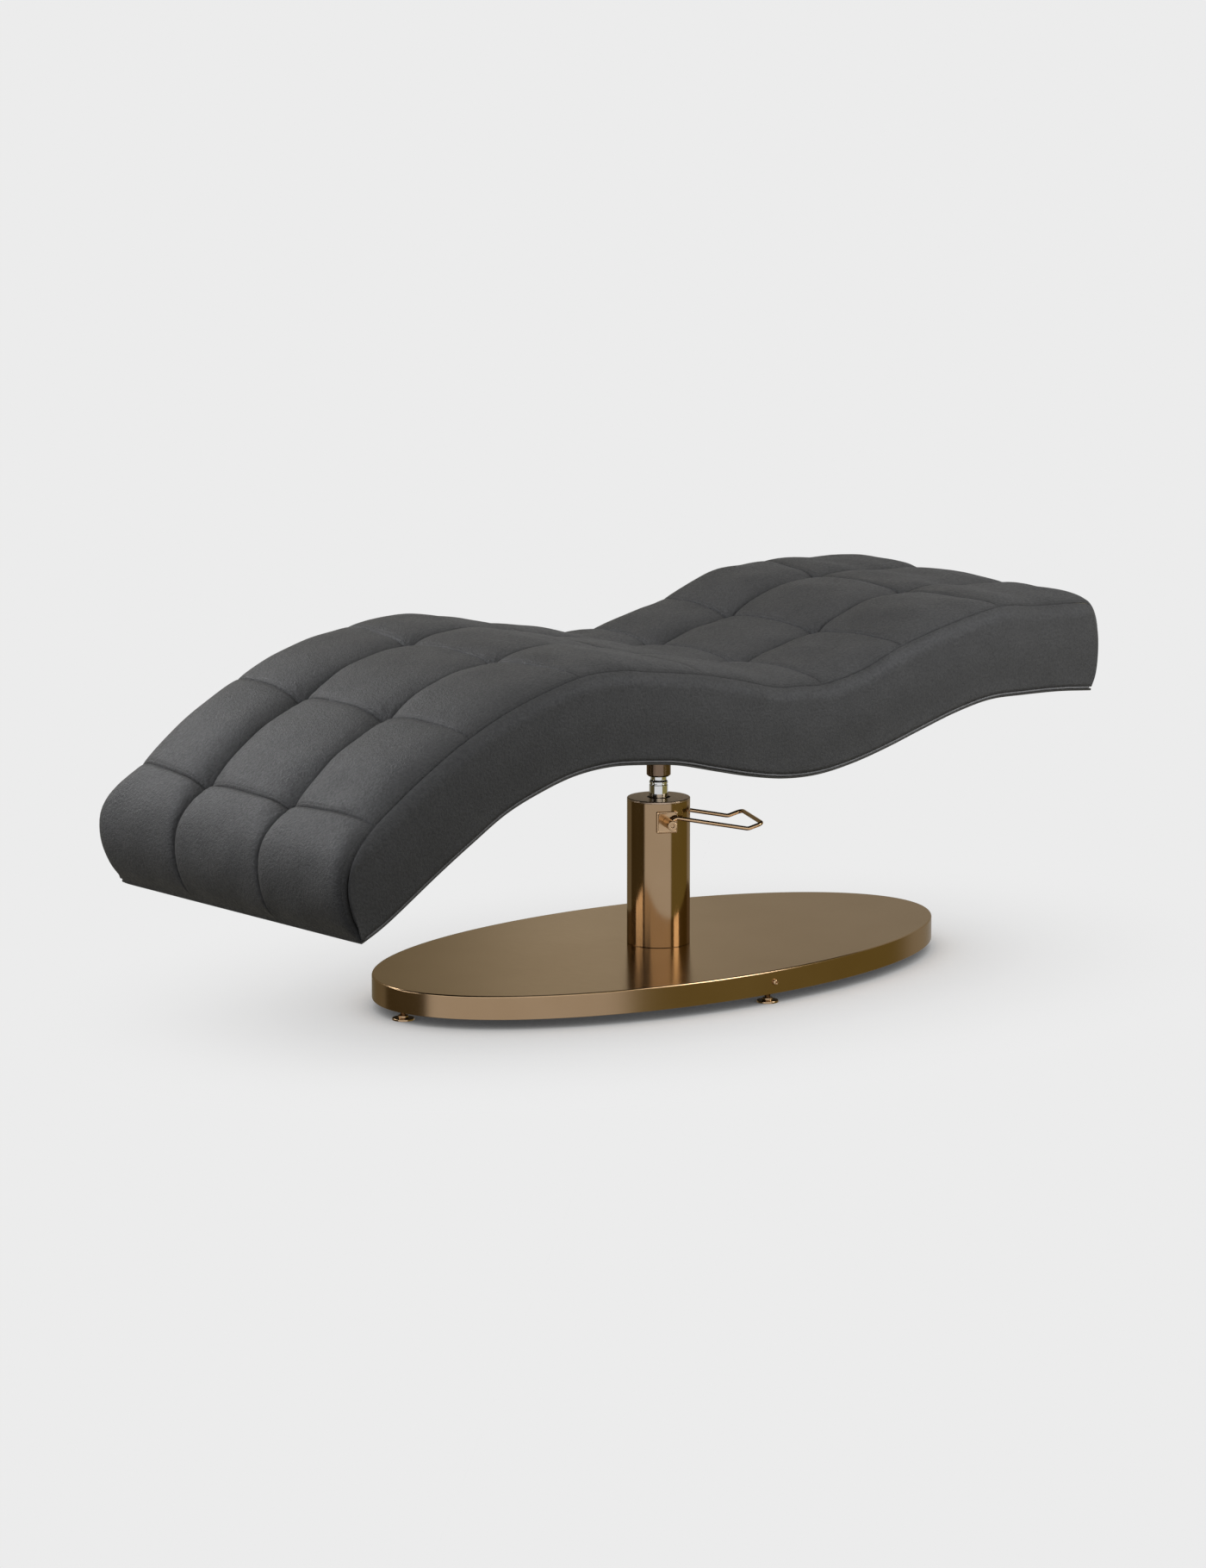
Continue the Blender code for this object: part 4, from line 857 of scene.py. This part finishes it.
def cover_places():
    """Every point of the cover's grid: how far along the seam path, and how far across."""
    shares = dense_near(seam_y_top - groove_y)
    along, across_bed = [], []
    for index, (low, high) in enumerate(zip(row_marks, row_marks[1:])):
        marks = dense_near(high - low, index > 0, index < len(row_marks) - 2)
        for share in (marks if index == 0 else marks[1:]):
            side = float(seam_y(low + (high - low) * share))
            stops = [-side, -groove_y, groove_y, side]
            columns = [left + (right - left) * shares for left, right in zip(stops, stops[1:])]
            y = np.concatenate([columns[0], columns[1][1:], columns[2][1:]])
            bow = row_bow(y)
            start, stop = low + row_bows[index] * bow, high + row_bows[index + 1] * bow
            along.append(start + (stop - start) * share)
            across_bed.append(y)
    return np.array(along), np.array(across_bed)


def wrapped_under(first_row):
    """Four rows that take the cover round the board's end and under it."""
    up = np.array([under_normals[0, 0], 0.0, under_normals[0, 1]])
    inwards = np.array([under_normals[0, 1], 0.0, -under_normals[0, 0]])
    bottom = first_row - up * (upholstery_lift + wrap_gap)
    return [bottom + inwards * wrap_under, bottom + inwards * 0.003,
            bottom + inwards * 0.0006 + up * 0.0010, bottom + up * 0.0032]


hide_dark = (0.0408, 0.0408, 0.0413, 1.0)
hide_light = (0.0516, 0.0516, 0.0521, 1.0)


def hide_effect():
    """Pebbled leather grain: relief of pebbles and creases, slow clouding of the dye, and gloss."""
    tree, start, end = effect("leather_grain", [("Place", "Vector", None), ("Pebbles", "Float", 300.0)],
                              [("Relief", "Float", None), ("Cloud", "Float", None), ("Gloss", "Float", None)])
    place, pebbles = start.outputs[:2]
    cells = node(tree, "TexVoronoi", [(0, place)], feature="DISTANCE_TO_EDGE")
    tree.links.new(pebbles, cells.inputs["Scale"])
    pebble = node(tree, "MapRange", [(0, cells.outputs[0])], in_1=0.0, in_2=0.22, in_3=0.0, in_4=0.8,
                  interpolation_type="SMOOTHSTEP")
    creases = noise(tree, place, 210.0, 3.0)
    creases.inputs["Distortion"].default_value = 0.4
    folds = noise(tree, place, 30.0, 4.0)
    creased = node(tree, "Math", [(0, creases.outputs[0]), (2, pebble.outputs[0])],
                   operation="MULTIPLY_ADD", in_1=5.5)
    relief = node(tree, "Math", [(0, folds.outputs[0]), (2, creased.outputs[0])],
                  operation="MULTIPLY_ADD", in_1=3.0)
    cloud = noise(tree, place, 11.0, 7.0)
    cloud.inputs["Roughness"].default_value = 0.68
    tree.links.new(relief.outputs[0], end.inputs[0])
    tree.links.new(cloud.outputs[0], end.inputs[1])
    tree.links.new(creases.outputs[0], end.inputs[2])
    return tree


leather_grain = hide_effect()


def leather(name, dark, light, pebbles, relief, roughness):
    """Pigmented upholstery leather with its own grain size, and painted shade that darkens it in its seam
    folds.
    """
    material, tree, shader, place = finish(name, dark, roughness, Specular_Tint=(0.86, 0.90, 1.0, 1.0),
                                           Specular_IOR_Level=0.18)
    group = node(tree, "Group", node_tree=leather_grain)
    tree.links.new(place, group.inputs[0])
    group.inputs[1].default_value = pebbles
    tone = ramp(tree, group.outputs[1], [(0.32, dark), (0.68, light)])
    worn = ramp(tree, group.outputs[2], [(0.35, 0.80), (0.60, 1.0)])
    dyed = node(tree, "MixRGB", [(1, tone), (2, worn)], blend_type="MULTIPLY", in_0=1.0)
    # Painted shade: the seam_shade mask darkens the leather's colour in the seam folds, down to a fifth.
    seam_shade_input = node(tree, "Attribute", attribute_name="seam_shade")
    painted_fold_shade = ramp(tree, seam_shade_input.outputs["Fac"], [(0.0, 1.0), (1.0, 0.20)])
    hide = node(tree, "MixRGB", [(1, dyed.outputs[0]), (2, painted_fold_shade)], blend_type="MULTIPLY", in_0=1.0)
    tree.links.new(hide.outputs[0], shader.inputs["Base Color"])
    broken_gloss(tree, shader, group.outputs[2], roughness + 0.10, roughness - 0.06)
    fine_relief(tree, shader, group.outputs[0], relief, 0.3 * mm)
    return material


def inner_face(points, depth):
    """The grid moved to a depth under itself."""
    normals = np.cross(np.gradient(points, axis=0), np.gradient(points, axis=1))
    normals /= np.linalg.norm(normals, axis=2)[..., None]
    if normals[..., 2].mean() < 0:
        normals = -normals
    return points - normals * depth


def closed_sheet(points, inner):
    """Closed sheet: an outer grid, an inner grid, and walls round the edge."""
    rows, columns = points.shape[:2]
    verts = np.concatenate([points.reshape(-1, 3), inner.reshape(-1, 3)])
    faces = []
    step = rows * columns
    for i in range(rows - 1):
        for j in range(columns - 1):
            a, d = i * columns + j, (i + 1) * columns + j
            faces += [(a, a + 1, d + 1, d), (step + d, step + d + 1, step + a + 1, step + a)]
    edge = list(range(columns)) + [i * columns + columns - 1 for i in range(1, rows)]
    edge += [(rows - 1) * columns + j for j in range(columns - 2, -1, -1)]
    edge += [i * columns for i in range(rows - 2, 0, -1)]
    for a, b in zip(edge, edge[1:] + edge[:1]):
        faces.append((a, step + a, step + b, b))
    return verts, faces


cover_leather = leather("grained_leather", hide_dark, hide_light, 300.0, 1.0, 0.52)
cover_s, cover_y = cover_places()
cover_points = over_seam(cover_s, cover_y, cover_height(cover_s, cover_y))
cover_points = np.concatenate([wrapped_under(cover_points[0]), cover_points])
# cover_shade: painted shade for the seam folds at every point of the grid, none on the rows that wrap under.
cover_shade = np.pad(seam_shade(cover_s, cover_y), ((4, 0), (0, 0)))
cover_sheet = closed_sheet(cover_points, inner_face(cover_points, cover_gauge))
quilt = add_piece("tufted_leather_top", *cover_sheet, cover_leather, "bed", "leather_dark",
                  ["quilted_cover"], 180, np.tile(cover_shade.ravel(), 2))


# Foam. One block of cut upholstery foam lies over the deck and both ends, fully covered. The ties
# and seams of the cover press it down, and its open cells show as a fine pitted surface.

foam_under_cover = 0.0016
foam_depth = 0.022


def foam_finish():
    """Pale cut foam, yellower in the walls of its cells."""
    material, tree, shader, place = finish("cut_foam", (0.72, 0.66, 0.48, 1.0), 0.9)
    cells = node(tree, "TexVoronoi", [(0, place)])
    cells.inputs["Scale"].default_value = 700.0
    tone = ramp(tree, cells.outputs[0], [(0.0, (0.78, 0.72, 0.54, 1.0)), (0.6, (0.60, 0.54, 0.38, 1.0))])
    tree.links.new(tone, shader.inputs["Base Color"])
    fine_relief(tree, shader, cells.outputs[0], 0.6, 0.6 * mm)
    return material


foam_top = inner_face(cover_points, foam_under_cover)[4:, 1:-1]
foam_bottom = over_seam(cover_s, cover_y, -foam_depth)[:, 1:-1]
add_piece("pressed_foam_block", *closed_sheet(foam_top, foam_bottom), foam_finish(), "bed", "foam",
          ["foam_core"], 180)


# Side panels. Smoother leather over a thin pad closes each side. It is sewn to the cover along
# the top, rolls over the rail's edge, and is pulled under the bottom edge; a few short puckers
# gather below the seam near the foot.

panel_roll_top = 0.027
panel_roll_foot = 0.004
panel_roll_head = 0.016
panel_start_slope = 0.25
panel_bulge = 0.0025
panel_tuck = 0.004
panel_rows = 36
pucker_spots = [(0.205, 0.0042, 0.0016), (0.222, 0.0028, 0.0012), (0.248, 0.0035, 0.0013),
                (0.300, 0.0042, 0.0011), (0.318, 0.0025, 0.0009), (0.385, 0.0035, 0.0010),
                (0.404, 0.0025, 0.0009), (0.455, 0.0042, 0.0008)]


def panel_grid(side):
    """Grid from the seam, over the roll, down to the bottom edge and under it."""
    marks = np.linspace(0.0, seam_length, 760)
    x, z, nx, nz = (np.interp(marks, seam_run, values) for values in (*seam_curve.T, *seam_normals.T))
    foot = at_foot(marks)
    roll = from_top(marks, panel_roll_top, panel_roll_foot, panel_roll_head)
    crease = seam_y(marks)
    sink = foot_edge_drop * foot * eased(marks, 0.0, 0.03) + edge_crease
    slope = panel_start_slope * (1 - foot)
    level = 1 / np.sqrt(1 + slope ** 2)
    travel = np.maximum(np.gradient(x, marks), 0.05)
    x, z = x - nx * sink, z - nz * sink
    share = np.concatenate([[0.0], np.cumsum((travel[1:] + travel[:-1]) / 2)])
    lower = evenly(under_curve + under_normals * upholstery_lift, 600)
    low_x = lower[0, 0] + (lower[-1, 0] - lower[0, 0]) * share / share[-1]
    low_z = np.interp(low_x, lower[:, 0], lower[:, 1])
    drop = np.hypot(low_x - x, low_z - z) + 1e-6
    square = np.clip(-((low_x - x) * nx + (low_z - z) * nz) / drop, 0.3, 1.0)
    rings = []
    for k in range(panel_rows + 1):
        t = (k / panel_rows) ** 1.6
        near = np.clip(t * drop * square / roll, 0.0, 1.0)
        turn = np.sqrt(1 - (level * (1 - near)) ** 2)
        y = crease + (half_bed - crease) * (turn - level * slope) / (1 - level * slope)
        y += panel_bulge * math.sin(math.pi * t) ** 2 * (1 - 0.6 * foot) - 0.0008 * eased(t, 0.96, 1.0)
        for mark, width, depth in pucker_spots:
            y -= soft_line(marks - mark - 0.03 * t, depth * near, width) * math.exp(-t * 7)
        rings.append(np.stack([x + (low_x - x) * t, side * y, z + (low_z - z) * t], 1))
    under = rings[-1].copy()
    under[:, 1] -= side * panel_tuck
    return np.array(rings + [under])


panel_leather = leather("smooth_leather", hide_dark, hide_light, 420.0, 0.6, 0.52)
for name, side in (("left", -1), ("right", 1)):
    verts, faces = loft(panel_grid(side), wrap_rings=False, wrap_points=False)
    panel = add_piece(f"leather_side_{name}", verts, faces, panel_leather, "bed", "leather_dark",
                      [f"side_panel_{name}"], 180)


# Stitching. Grey bonded thread, one stitch every 4 mm: a row along the lapped side of every row seam, and a
# row on the cover beside each seam to the side panels.

stitch_pitch = 0.004
stitch_length = 0.0029
stitch_radius = 0.00030
stitch_sides = 6
edge_stitch_inset = 0.0045
thread, thread_tree, thread_shader, thread_place = finish("bonded_thread", (0.03, 0.03, 0.03, 1.0), 0.8,
                                                          Specular_IOR_Level=0.1)
twist = node(thread_tree, "TexWave", [(0, thread_place)])
twist.inputs["Scale"].default_value = 900.0
thread_tone = ramp(thread_tree, twist.outputs[1], [(0.0, 0.018), (1.0, 0.036)])
thread_tree.links.new(thread_tone, thread_shader.inputs["Base Color"])


def stitch_line(points, ups):
    """Short thread loops at an even pitch along a line of points."""
    run = arc_lengths(points)

    def on_line(places, values):
        return np.stack([np.interp(places, run, values[:, i]) for i in range(3)], 1)

    centres = np.arange(stitch_pitch, run[-1] - stitch_pitch, stitch_pitch)
    middle = on_line(centres, points)
    up = on_line(centres, ups)
    way = on_line(centres + mm, points) - middle
    way /= np.linalg.norm(way, axis=1)[:, None]
    side = np.cross(way, up)
    side /= np.linalg.norm(side, axis=1)[:, None]
    verts, faces = [], []
    profile = [(-0.5, -0.0006, 0.3), (-0.3, -0.0001, 1.0), (0.0, 0.0001, 1.0), (0.3, -0.0001, 1.0),
               (0.5, -0.0006, 0.3)]
    for centre, forwards, upwards, sideways in zip(middle, way, up, side):
        rings = []
        for along, rise, width in profile:
            heart = centre + forwards * along * stitch_length + upwards * rise
            reach = stitch_radius * width
            angles = [math.tau * k / stitch_sides for k in range(stitch_sides)]
            rings.append([heart + reach * (upwards * math.sin(angle) + sideways * math.cos(angle))
                          for angle in angles])
        new_verts, new_faces = capped(*loft(rings, wrap_rings=False), stitch_sides)
        faces += [tuple(i + len(verts) for i in face) for face in new_faces]
        verts += list(new_verts)
    return verts, faces


def normals_over_seam(s):
    """Directions straight out of the bed along the seam path."""
    return np.stack([np.interp(s, seam_run, seam_normals[:, 0]), np.zeros_like(s),
                     np.interp(s, seam_run, seam_normals[:, 1])], 1)


def sewn(name, lines):
    """One piece of thread from several stitched lines."""
    verts, faces = [], []
    for points, ups in lines:
        new_verts, new_faces = stitch_line(points, ups)
        faces += [tuple(i + len(verts) for i in face) for face in new_faces]
        verts += new_verts
    add_piece(name, verts, faces, thread, "bed", "leather_dark", (), 60)


row_lines = []
for mark, bow in zip(row_marks[1:-1], row_bows[1:-1]):
    y = np.linspace(-seam_y_top + 0.006, seam_y_top - 0.006, 400)
    s = mark + bow * row_bow(y) + topstitch_away
    row_lines.append((over_seam(s, y, cover_height(s, y)), normals_over_seam(s)))
sewn("row_topstitch", row_lines)

edge_lines = []
for side in (-1, 1):
    s = np.linspace(0.012, seam_length - 0.012, 1500)
    y = side * (seam_y(s) - edge_stitch_inset)
    edge_lines.append((over_seam(s, y, cover_height(s, y)), normals_over_seam(s)))
sewn("edge_topstitch", edge_lines)


# Piping. A mid grey leather cord is sewn along the bottom edge on both sides, between the side
# panel and the board, and is tucked in at the bed's corners.

piping_radius = 0.0022
piping_gap = 0.0003
piping_end_bend = 0.006
piping_steps = 14
piping_leather = leather("piping_leather", (0.12, 0.12, 0.124, 1.0), (0.15, 0.15, 0.154, 1.0), 900.0, 0.3,
                         0.45)
piping_line = evenly(under_curve + under_normals * (board_thickness + piping_gap + piping_radius), 420)[1:-1]
piping_run = arc_lengths(piping_line)
to_end = np.clip(np.minimum(piping_run, piping_run[-1] - piping_run) / piping_end_bend, 0.0, 1.0)
piping_y = half_bed - piping_radius - piping_gap - piping_end_bend * (1 - np.sqrt(1 - (1 - to_end) ** 2))
piping_parts = ([], [])
for side in (-1, 1):
    route = np.stack([piping_line[:, 0], side * piping_y, piping_line[:, 1]], 1)
    rings = swept(route, piping_radius, piping_steps)
    verts, faces = capped(*loft(rings, wrap_rings=False), piping_steps)
    piping_parts[1].extend(tuple(i + len(piping_parts[0]) for i in face) for face in faces)
    piping_parts[0].extend(verts)
add_piece("piping_cord", *piping_parts, piping_leather, "bed", "piping_light", ["piping"], 60)


# Room. A plain pale floor runs into the same pale background. Three soft lamps stand at the foot end
# and behind it, two beside the head end, and the camera has the photograph's angle.

paper = (0.8388, 0.8388, 0.8388, 1.0)
sky_light = 0.33
shadow_share = 0.36
scene = bpy.context.scene
scene.view_settings.view_transform = "Standard"


def grey(value):
    """Colour with three equal parts."""
    return (value, value, value, 1.0)


def seen_rays(tree):
    """1 for what the camera sees, straight or through glass."""
    rays = tree.nodes.new("ShaderNodeLightPath")
    seen = node(tree, "Math", [(0, rays.outputs["Is Camera Ray"]), (1, rays.outputs["Is Transmission Ray"])],
                operation="MAXIMUM")
    return seen.outputs[0]


def floor_finish():
    """Pale floor that takes the bed's soft shadow close by, with a painted contact shadow near the base, and
    fades to plain paper further out.
    """
    material = bpy.data.materials.new("pale_floor")
    material.use_nodes = True
    tree = material.node_tree
    tree.nodes.clear()
    out = tree.nodes.new("ShaderNodeOutputMaterial")
    lit = node(tree, "BsdfDiffuse", in_0=grey(paper[0] * shadow_share / sky_light))
    glow = node(tree, "Emission", in_0=paper, in_1=1 - shadow_share)
    shaded = node(tree, "AddShader", [(0, lit.outputs[0]), (1, glow.outputs[0])])
    flat = node(tree, "Emission", in_0=paper)
    place = tree.nodes.new("ShaderNodeTexCoord").outputs["Object"]
    oval = node(tree, "VectorMath", [(0, place)], operation="MULTIPLY", in_1=(0.8, 1.15, 1.0))
    away = node(tree, "VectorMath", [(0, oval.outputs[0])], operation="LENGTH")
    fade = node(tree, "MapRange", [(0, away.outputs["Value"])], in_1=0.45, in_2=1.05, in_3=0.0, in_4=1.0,
                interpolation_type="SMOOTHSTEP")
    paper_floor = node(tree, "MixShader", [(0, fade.outputs[0]), (1, shaded.outputs[0]), (2, flat.outputs[0])])
    # Painted contact shadow: ambient occlusion within 0.2 m mixes the floor towards a near-black emission.
    contact = node(tree, "AmbientOcclusion", samples=8)
    contact.inputs["Distance"].default_value = 0.20
    hidden = node(tree, "Math", [(1, contact.outputs["AO"])], operation="SUBTRACT", in_0=1.0)
    dimmed = node(tree, "Math", [(0, hidden.outputs[0])], operation="POWER", in_1=1.15)
    nearness = node(tree, "Math", [(1, dimmed.outputs[0])], operation="SUBTRACT", in_0=1.0)
    black = node(tree, "Emission", in_0=grey(0.03))
    seen_floor = node(tree, "MixShader",
                      [(0, nearness.outputs[0]), (1, black.outputs[0]), (2, paper_floor.outputs[0])])
    plain = node(tree, "BsdfDiffuse", in_0=grey(0.28))
    mixed = node(tree, "MixShader", [(0, seen_rays(tree)), (1, plain.outputs[0]), (2, seen_floor.outputs[0])])
    tree.links.new(mixed.outputs[0], out.inputs[0])
    return material


floor_mesh = bpy.data.meshes.new("floor")
floor_mesh.from_pydata([(-30, -30, 0), (30, -30, 0), (30, 30, 0), (-30, 30, 0)], [], [(0, 1, 2, 3)])
floor_mesh.materials.append(floor_finish())
floor = bpy.data.objects.new("floor", floor_mesh)
scene.collection.objects.link(floor)
floor.location = (column_x, 0.0, 0.0)
floor.visible_glossy = False


def room_light():
    """Even soft light from all round; metal sees the pale room, darker on both sides and behind."""
    world = bpy.data.worlds.new("room")
    scene.world = world
    world.use_nodes = True
    tree = world.node_tree
    tree.nodes.clear()
    out = tree.nodes.new("ShaderNodeOutputWorld")
    rays = tree.nodes.new("ShaderNodeLightPath")
    way = tree.nodes.new("ShaderNodeTexCoord").outputs["Generated"]
    parts = node(tree, "SeparateXYZ", [(0, way)])
    turn = node(tree, "Math", [(0, parts.outputs[1]), (1, parts.outputs[0])], operation="ARCTAN2")
    share = node(tree, "MapRange", [(0, turn.outputs[0])], in_1=-math.pi, in_2=math.pi, in_3=0.0, in_4=1.0)
    front = grey(0.84)
    left = (0.09, 0.07, 0.03, 1.0)
    right = (0.26, 0.215, 0.07, 1.0)
    far_wall = grey(0.55)
    behind_left = (0.29, 0.27, 0.21, 1.0)
    behind_right = (0.57, 0.55, 0.51, 1.0)
    card = (0.92, 0.91, 0.88, 1.0)
    studio = ramp(tree, share.outputs[0], [
        (0.000, front), (0.261, front), (0.275, right), (0.480, right), (0.515, far_wall), (0.630, far_wall),
        (0.6400, behind_right), (0.6405, card), (0.6415, card), (0.6420, behind_left), (0.80, behind_left),
        (0.82, left), (0.985, left), (1.0, front)])
    low = node(tree, "MapRange", [(0, parts.outputs[2])], in_1=0.0, in_2=0.04, in_3=0.0, in_4=1.0)
    high = node(tree, "MapRange", [(0, parts.outputs[2])], in_1=0.20, in_2=0.36, in_3=1.0, in_4=0.0)
    ahead = ramp(tree, share.outputs[0], [(0.0, 1.0), (0.255, 1.0), (0.275, 0.0), (0.97, 0.0), (1.0, 1.0)])
    band = node(tree, "Math", [(0, low.outputs[0]), (1, high.outputs[0])], operation="MULTIPLY")
    glow = node(tree, "Math", [(0, band.outputs[0]), (1, ahead)], operation="MULTIPLY")
    power = node(tree, "MapRange", [(0, glow.outputs[0])], in_1=0.0, in_2=1.0, in_3=1.0, in_4=2.5)
    mirror = node(tree, "Background", [(0, studio), (1, power.outputs[0])])
    ambient = node(tree, "Background", in_0=grey(sky_light))
    backdrop = node(tree, "Background", in_0=paper)
    glossy = rays.outputs["Is Glossy Ray"]
    around = node(tree, "MixShader", [(0, glossy), (1, ambient.outputs[0]), (2, mirror.outputs[0])])
    room = node(tree, "MixShader", [(0, seen_rays(tree)), (1, around.outputs[0]), (2, backdrop.outputs[0])])
    tree.links.new(room.outputs[0], out.inputs[0])


room_light()
off_floor = bpy.data.collections.new("lamps_skip_floor")
off_floor.objects.link(floor)
off_floor.collection_objects[0].light_linking.link_state = "EXCLUDE"


def lamp(name, place, target, width, height, power):
    """Rectangular softbox aimed at a point; the floor keeps only the room's even light."""
    data = bpy.data.lights.new(name, "AREA")
    data.shape = "RECTANGLE"
    data.size, data.size_y = width, height
    data.energy = power
    item = bpy.data.objects.new(name, data)
    scene.collection.objects.link(item)
    item.location = place
    item.rotation_euler = (Vector(target) - Vector(place)).to_track_quat("-Z", "Y").to_euler()
    item.visible_camera = False
    item.light_linking.receiver_collection = off_floor


lamp("foot_softbox", (-2.55, 0.45, 2.6), (-0.5, 0.0, 0.45), 1.8, 1.8, 76.0)
lamp("back_softbox", (-1.1, 2.1, 2.1), (-0.5, 0.0, 0.5), 1.2, 1.0, 42.0)
lamp("foot_strip", (-2.1, 1.0, 0.38), (0.1, 0.0, 0.3), 1.35, 0.32, 8.0)
lamp("head_strip", (1.15, -1.95, 0.40), (0.1, 0.0, 0.3), 0.8, 0.32, 4.5)
lamp("head_softbox", (1.15, -1.85, 1.60), (0.4, -0.1, 0.45), 1.0, 1.8, 44.0)

camera_data = bpy.data.cameras.new("camera")
camera_data.lens = 131.11
camera_data.sensor_width = 36.0
camera_data.sensor_fit = "AUTO"
camera_data.clip_end = 100.0
camera = bpy.data.objects.new("camera", camera_data)
scene.collection.objects.link(camera)
camera.location = (-6.5963, -7.8877, 2.2408)
camera.rotation_euler = (math.radians(79.693), 0.0, math.radians(-39.794))
scene.camera = camera
